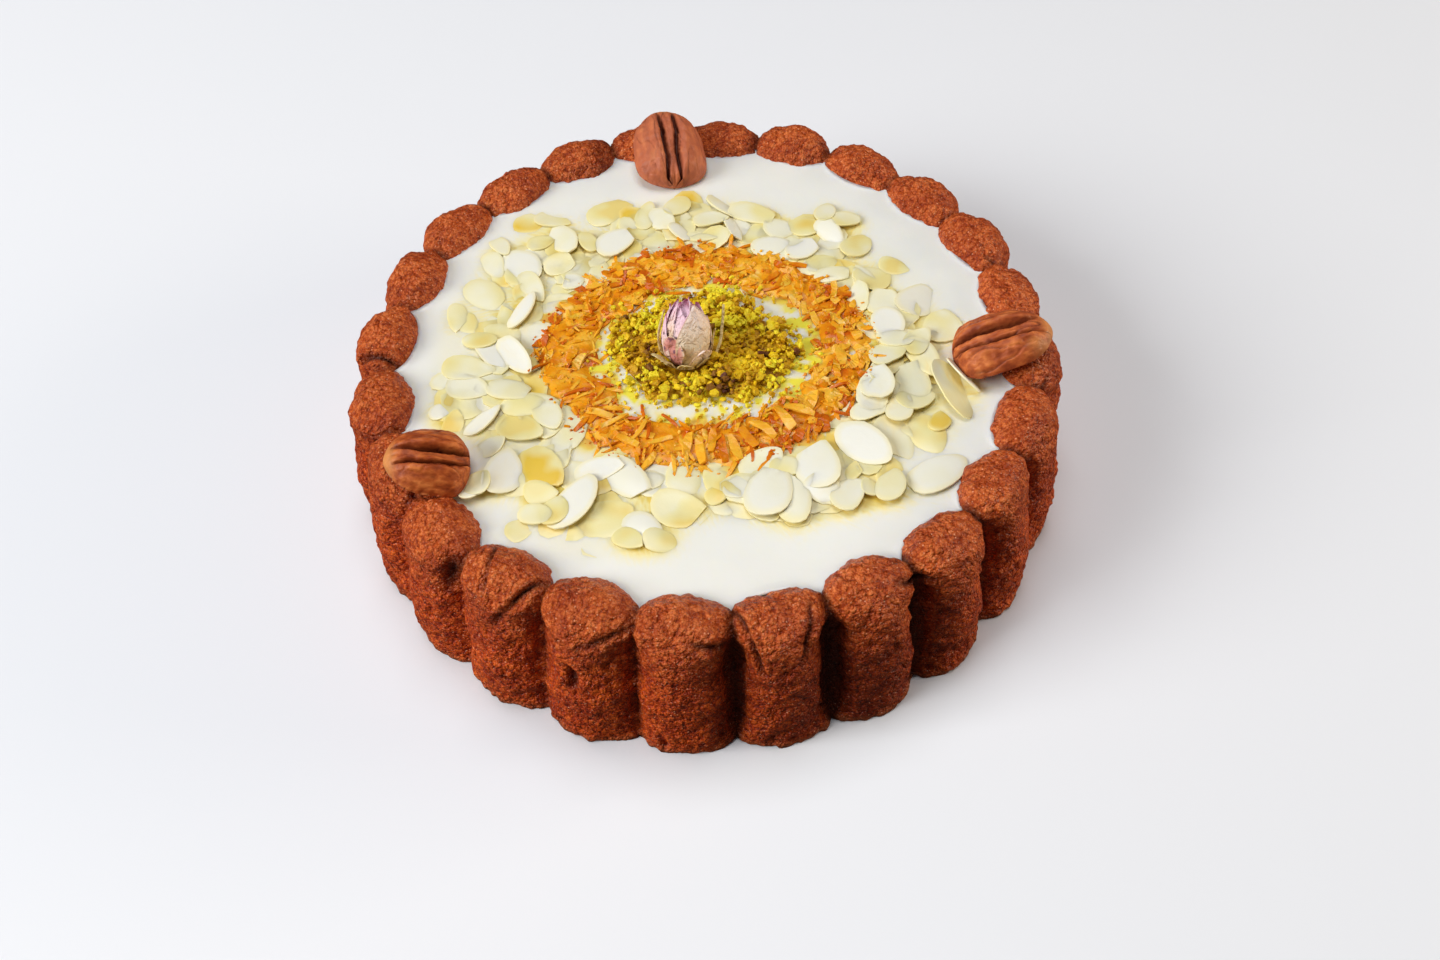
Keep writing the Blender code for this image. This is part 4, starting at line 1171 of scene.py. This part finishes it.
for name, set_down, form in PECANS:
    away, bearing, heading, tilt, roll, height = set_down
    length, width, wrinkling, side_shift, rosy, seed = form
    nut = ring_skin("pecan_half_" + name, PECAN_COLUMNS, PECAN_ROWS)
    shift = Vector((seed, seed * 1.7, seed * 0.6))
    valley = []
    pale = []

    def nut_place(turn, row):
        """One point of a pecan half in its own frame, flat side down, long way along X."""
        along = -math.cos(math.pi * (row + 1) / (PECAN_ROWS + 1))
        girth = max(0.0, 1.0 - abs(along) ** (2.6 if along > 0.0 else 4.2)) ** 0.62 * (1.0 - 0.07 * along)
        grooved = turn < 0.5
        if grooved:
            across = 0.72 * (1.0 - 4.0 * turn) + 0.28 * math.cos(math.tau * turn)
            lift = LOBE_HEIGHT * (1.0 - abs(across) ** 2.3) ** 0.55 * girth ** 0.8
        else:
            across = math.cos(math.tau * turn)
            lift = BELLY_DEPTH * math.sin(math.tau * turn) * girth ** 0.8
        point = Vector((0.5 * length * along, 0.5 * width * girth * across, lift))
        dark = 0.0
        if grooved:
            wander = side_shift * girth + 0.05 * uneven(along * 2.2, seed, 0.0)
            wander += 0.02 * uneven(along * 7.0, seed, 3.0)
            fade = max(0.0, 1.0 - max(0.0, along + 0.10) ** 5)
            for side in (-1.0, 1.0):
                spread = GROOVE_SPREAD + 0.03 * along + 0.05 * side * uneven(along * 1.5, seed, side)
                off = (across - side * spread / max(0.5, girth) - wander) * side
                wall = GROOVE_OUTER_WALL if off > 0.0 else GROOVE_INNER_WALL
                trough = math.exp(-abs(off / wall) ** 1.7)
                point.z -= GROOVE_DEPTH * trough * fade * (0.35 + 0.65 * girth)
                dark = max(dark, math.exp(-abs((off + 0.010) / GROOVE_SHADE) ** 2.2) * fade)
                point.z += GROOVE_LIP * bell(off - 0.20, 0.14) * fade * girth
            point.z -= (RIDGE_DEPTH - 0.0005 * along) * bell(across - wander, 0.10) * girth
        folds = noise.noise(Vector((point.x * 90.0, point.y * 260.0, 0.0)) + shift)
        creases = noise.noise(Vector((point.x * 110.0, point.y * 330.0, point.z * 150.0)) + shift)
        sharp = bell(creases, 0.06)
        pits = noise.noise(Vector((point.x * 620.0, point.y * 520.0, 1.0)) + shift)
        wrinkle = wrinkling * (SKIN_FOLDS * folds - SKIN_CREASES * sharp + SKIN_PITS * pits) * girth
        point.z += wrinkle * (1.0 if grooved else -0.4)
        point.y *= 1.0 + 18.0 * wrinkle
        point.z += BELLY_DEPTH - 0.0008 * along * along
        valley.append(min(1.0, 0.96 * dark + 0.42 * sharp * smooth_step(folds, 0.2, -0.3) * wrinkling))
        worn = 0.7 * smooth_step(along, 0.72, 1.0) + 0.4 * smooth_step(folds, 0.45, 0.8)
        pale.append(worn * (1.0 - dark))
        return point

    press(nut, nut_place)
    write_masks(nut, valley=valley, pale=pale, rosy=rosy)
    own = nut.data.attributes.new("nut_place", "FLOAT_VECTOR", "POINT")
    for vertex, kept in zip(nut.data.vertices, own.data):
        kept.vector = vertex.co
    nut.data.transform(Matrix.Translation((*around(away, math.radians(bearing)), height))
                       @ Matrix.Rotation(math.radians(heading), 4, "Z")
                       @ Matrix.Rotation(-math.radians(tilt), 4, "Y")
                       @ Matrix.Rotation(math.radians(roll), 4, "X"))
    nut.data.materials.append(nut_skin)
    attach(nut, "root")
    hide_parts("pecan_" + name)


# ---------------------------------------------------------------- rosebud
# A dried rosebud set upright in the ground pistachio: papery petals wrapped round each other to
# a point, violet at their tips and cream below, thin dry sepals, and a thread of a stalk.
BUD_LENGTH = 0.0198
BUD_WIDTH = 0.0148
BUD_LEAN_DEG = 24.0
BUD_HEADING_DEG = 84.0
BUD_COLUMNS = 48
HEART_ROWS = 30
BUD_HEART = 0.80
PETAL_THICKNESS = 0.00028
PETAL_RUMPLE = 0.0006
STALK_DIAMETER = 0.0009
STALK_POINTS_MM = ((-3.5, -8.0, 48.2), (1.0, -8.5, 47.5), (4.0, -4.5, 49.2), (5.2, 1.0, 52.2),
                   (5.8, 6.2, 55.6))
# Bearing, half width, foot and tip as shares of the length, stand-off and flare in mm, narrowing
# towards the tip, curl of the rim in mm, tone: 0 violet, 1 deep pink, 2 cream, 3 dry leaf.
PETALS = (
    (5, 100, 0.10, 1.00, 0.1, 0.1, 0.55, 0.1, 0), (125, 95, 0.10, 1.00, 0.3, 0.1, 0.60, 0.1, 0),
    (240, 95, 0.10, 0.98, 0.4, 0.2, 0.60, 0.2, 0), (60, 72, 0.05, 0.96, 0.6, 0.3, 0.65, 0.3, 0),
    (305, 72, 0.05, 0.95, 0.7, 0.3, 0.65, 0.3, 0), (212, 17, 0.55, 1.09, 0.5, 1.1, 1.1, 0.2, 0),
    (138, 15, 0.50, 1.07, 0.7, 2.4, 1.1, 0.2, 0), (100, 13, 0.50, 0.96, 0.8, 1.6, 1.1, 0.2, 0),
    (98, 46, 0.02, 0.80, 1.0, 0.2, 0.50, 0.5, 0), (152, 30, 0.05, 0.58, 1.2, 0.1, 0.40, 0.6, 1),
    (226, 64, 0.00, 0.99, 1.2, 0.0, 0.50, 0.7, 2), (230, 34, -0.02, 0.36, 1.8, 0.2, 0.40, 0.6, 2),
    (40, 50, 0.00, 0.66, 1.1, 0.3, 0.50, 0.4, 2), (300, 46, 0.00, 0.72, 1.2, 0.3, 0.50, 0.4, 2),
    (96, 8, 0.00, 0.86, 1.9, 0.9, 1.0, 0.2, 3), (122, 24, -0.05, 0.26, 2.3, 2.4, 0.60, 1.1, 3),
    (140, 20, -0.05, 0.20, 2.2, 1.9, 0.60, 0.9, 3), (185, 26, -0.05, 0.16, 2.1, 0.9, 0.60, 0.7, 3),
    (238, 20, -0.04, 0.22, 2.1, 0.7, 0.70, 0.5, 3), (284, 8, -0.02, 0.55, 2.0, 0.8, 1.0, 0.2, 3),
    (20, 16, -0.02, 0.40, 2.0, 0.9, 0.90, 0.4, 3),
)


def bud_girth(share):
    """The half width of the bud at a share of its length."""
    return 0.5 * BUD_WIDTH * math.sin(math.pi * held(share) ** 0.86) ** 0.72


def make_petal(bearing, half_width, foot, tip, stand_off, flare, narrowing, curl, tone, seed):
    """One petal: a grid wrapped round the bud, drawn to a point, thickened and smoothed."""
    petal = start_with(bpy.ops.mesh.primitive_grid_add, "petal", x_subdivisions=12, y_subdivisions=18,
                       size=2.0)
    tips = []
    edges = []
    for vertex in petal.data.vertices:
        side, up = vertex.co.x, 0.5 + 0.5 * vertex.co.y
        point = 1.0 - up ** (2.6 / narrowing) * 0.97
        spread = half_width * point * (0.55 + 0.45 * min(1.0, up * 3.0))
        rumple = uneven(side * 1.6 + seed, up * 3.0, seed * 2.1)
        rumple += 0.55 * uneven(side * 4.5 + seed, up * 6.5, seed * 1.3)
        share = foot + (tip - foot) * (up - 0.05 * side * side * (1.0 - up))
        edge = abs(side) ** 3
        radius = BUD_HEART * bud_girth(0.06 + 0.90 * share) + PETAL_RUMPLE * rumple
        radius += (stand_off * min(1.0, 0.3 + 2.0 * up) + flare * up ** 5
                   + curl * max(edge, up ** 12) * min(1.0, 2.0 * up)) * MM
        angle = math.radians(bearing + spread * side) + 0.05 * rumple
        vertex.co = (*around(radius, angle), BUD_LENGTH * share)
        tips.append(up)
        edges.append(max(edge, smooth_step(up, 0.9, 1.0)))
    write_masks(petal, tip=tips, edge=edges, tone=tone / 3.0)
    thicken = petal.modifiers.new("thicken", "SOLIDIFY")
    thicken.thickness = PETAL_THICKNESS
    thicken.offset = 0.0
    soften = petal.modifiers.new("soften", "SUBSURF")
    soften.levels = soften.render_levels = 1
    for modifier in ("thicken", "soften"):
        bpy.ops.object.modifier_apply(modifier=modifier)
    bpy.ops.object.shade_smooth()
    return petal


def heart_place(turn, row):
    """One point of the closed heart of the bud, puckered towards its top."""
    share = (row + 1) / (HEART_ROWS + 1)
    pleat = 1.0 + 0.10 * math.sin(math.tau * 5.0 * turn + 9.0 * share) * share * share
    radius = BUD_HEART * bud_girth(0.04 + 0.95 * share) * pleat if 0 <= row < HEART_ROWS else 0.0
    return Vector((*around(radius, math.tau * turn), BUD_LENGTH * (0.02 + 0.96 * share)))


petals = [make_petal(*sizes, seed=3.7 * count) for count, sizes in enumerate(PETALS)]
heart = ring_skin("bud_heart", BUD_COLUMNS, HEART_ROWS)
press(heart, heart_place)
write_masks(heart, tip=[vertex.co.z / BUD_LENGTH for vertex in heart.data.vertices], edge=0.3, tone=0.0)
select_only(*petals, heart)
bpy.ops.object.join()
rosebud = petals[0]
rosebud.name = rosebud.data.name = "rosebud_petals"
rosebud.data.transform(Matrix.Translation(BUD_FOOT) @ Matrix.Rotation(math.radians(BUD_HEADING_DEG), 4, "Z")
                       @ Matrix.Rotation(math.radians(BUD_LEAN_DEG), 4, "Y"))

stalk = start_with(bpy.ops.curve.primitive_bezier_curve_add, "rosebud_stalk")
line = stalk.data.splines[0]
line.bezier_points.add(len(STALK_POINTS_MM) - len(line.bezier_points))
for point, place in zip(line.bezier_points, STALK_POINTS_MM):
    point.co = Vector(place) * MM
    point.handle_left_type = point.handle_right_type = "AUTO"
line.bezier_points[0].radius = 1.3
line.bezier_points[-1].radius = 0.8
stalk.data.bevel_depth = 0.5 * STALK_DIAMETER
stalk.data.bevel_resolution = 3
stalk.data.use_fill_caps = True
bpy.ops.object.convert(target="MESH")
stalk = bpy.context.object
stalk.name = stalk.data.name = "rosebud_stalk"
write_masks(stalk, tip=0.4, edge=0.4, tone=1.0)
bpy.ops.object.shade_smooth()

dried_petal, tree = new_finish(
    "dried_petal", Roughness=0.62, Subsurface_Weight=0.05, Subsurface_Scale=0.0008,
    Subsurface_Radius=(1.0, 0.7, 0.6), Specular_IOR_Level=0.3)
upright = shader_node(tree, "ShaderNodeMapping",
                      {"Vector": on_piece(tree), "Scale": (1.0, 1.0, 0.16)}).outputs[0]
veins = clouds(tree, upright, 1400.0, 3.0)["Fac"]
violet = ramp(tree, mask(tree, "tip"), (0.15, (0.86, 0.64, 0.46)), (0.50, (0.90, 0.66, 0.66)),
              (0.90, (0.88, 0.60, 0.76)), (0.985, (0.42, 0.06, 0.17)))
pink = ramp(tree, mask(tree, "edge"), (0.10, (0.60, 0.23, 0.20)), (0.50, (0.68, 0.34, 0.29)),
            (0.95, (0.82, 0.64, 0.46)))
pale = ramp(tree, mask(tree, "tip"), (0.0, (0.88, 0.68, 0.26)), (0.35, (0.94, 0.78, 0.52)),
            (0.9, (0.94, 0.78, 0.72)))
pale = mixed(tree, between(tree, mask(tree, "edge"), 0.70, 1.0, 0.75), pale, (0.52, 0.30, 0.16))
leaf = ramp(tree, veins, (0.3, (0.58, 0.42, 0.14)), (0.7, (0.86, 0.72, 0.34)))
# The tone runs from violet by way of pink and cream to leaf, and each look covers those before it.
covers = [shader_node(tree, "ShaderNodeMath", {0: mask(tree, "tone"), 1: limit},
                      operation="GREATER_THAN").outputs[0] for limit in (0.17, 0.50, 0.83)]
colour = violet
for cover, look in zip(covers, (pink, pale, leaf)):
    colour = mixed(tree, cover, colour, look)
colour = stained(tree, colour, veins, (0.52, 0.30, 0.24), 0.18)
dots = between(tree, clouds(tree, on_piece(tree), 620.0, 1.0)["Fac"], 0.63, 0.68, 0.75)
colour = stained(tree, colour, dots, (0.10, 0.04, 0.10), sum_of(tree, (covers[1], -1.0), start=1.0))
crumple = clouds(tree, on_piece(tree), 380.0, 2.0, Distortion=0.8)["Fac"]
paint(tree, colour, sum_of(tree, (veins, 0.2), start=crumple), 0.0016, 0.9)
rosebud.data.materials.append(dried_petal)
stalk.data.materials.append(dried_petal)
for piece in (rosebud, stalk):
    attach(piece, "root")
    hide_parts("rosebud")


# ---------------------------------------------------------------- stage
# A plain pale table top in soft light from the left, seen from in front and above.
TABLE_SIZE = 3.2
CAMERA_PLACE = Vector((0.003283, -0.232785, 0.299493))
CAMERA_AIM = Vector((0.003283, -0.017363, 0.0))
CAMERA_ROLL_DEG = -1.633
CAMERA_LENS_MM = 28.687
floor = start_with(bpy.ops.mesh.primitive_plane_add, "table_top", size=TABLE_SIZE)
table_paint, tree = new_finish("table_pale_to_camera", Roughness=0.6)
# Pale only to the camera; dark brown to bounced light and reflections, painting shade on the cake.
seen = shader_node(tree, "ShaderNodeLightPath").outputs["Is Camera Ray"]
tree.links.new(mixed(tree, seen, (0.10, 0.07, 0.05), (0.82, 0.845, 0.895)),
               tree.nodes["Principled BSDF"].inputs["Base Color"])
floor.data.materials.append(table_paint)

camera_data = bpy.data.cameras.new("camera")
camera_data.lens = CAMERA_LENS_MM
camera_data.sensor_width = 36.0
camera_data.clip_start = 0.01
camera = bpy.data.objects.new("camera", camera_data)
bpy.context.scene.collection.objects.link(camera)
ahead = (CAMERA_AIM - CAMERA_PLACE).normalized()
level_right = ahead.cross(Vector((0.0, 0.0, 1.0))).normalized()
level_up = level_right.cross(ahead)
roll = math.radians(CAMERA_ROLL_DEG)
right = level_right * math.cos(roll) + level_up * math.sin(roll)
up = level_up * math.cos(roll) - level_right * math.sin(roll)
pose = Matrix((right, up, -ahead)).transposed().to_4x4()
pose.translation = CAMERA_PLACE
camera.matrix_world = pose
bpy.context.scene.camera = camera


def soft_light(name, bearing_deg, height_deg, distance, size, watts, colour):
    """A square soft light that faces the cake."""
    data = bpy.data.lights.new(name, "AREA")
    data.size = size
    data.energy = watts
    data.color = colour
    lamp = bpy.data.objects.new(name, data)
    bpy.context.scene.collection.objects.link(lamp)
    bearing, height = math.radians(bearing_deg), math.radians(height_deg)
    lamp.location = Vector((*around(math.cos(height), bearing), math.sin(height))) * distance
    lamp.rotation_euler = lamp.location.to_track_quat("Z", "Y").to_euler()


soft_light("window_light", 200.0, 31.0, 2.2, 1.1, 45.0, (1.0, 0.985, 0.955))
soft_light("top_light", 100.0, 80.0, 2.5, 1.4, 31.0, (0.99, 0.99, 1.0))
soft_light("side_glow", 6.0, 9.0, 1.8, 0.9, 24.0, (1.0, 0.84, 0.64))
world = bpy.data.worlds.new("pale_room")
world.use_nodes = True
backdrop = world.node_tree.nodes["Background"]
backdrop.inputs["Color"].default_value = (0.95, 0.97, 1.0, 1.0)
seen = shader_node(world.node_tree, "ShaderNodeLightPath").outputs["Is Camera Ray"]
world.node_tree.links.new(sum_of(world.node_tree, (seen, 0.87), start=0.05), backdrop.inputs["Strength"])
bpy.context.scene.world = world
bpy.context.scene.view_settings.view_transform = "Standard"
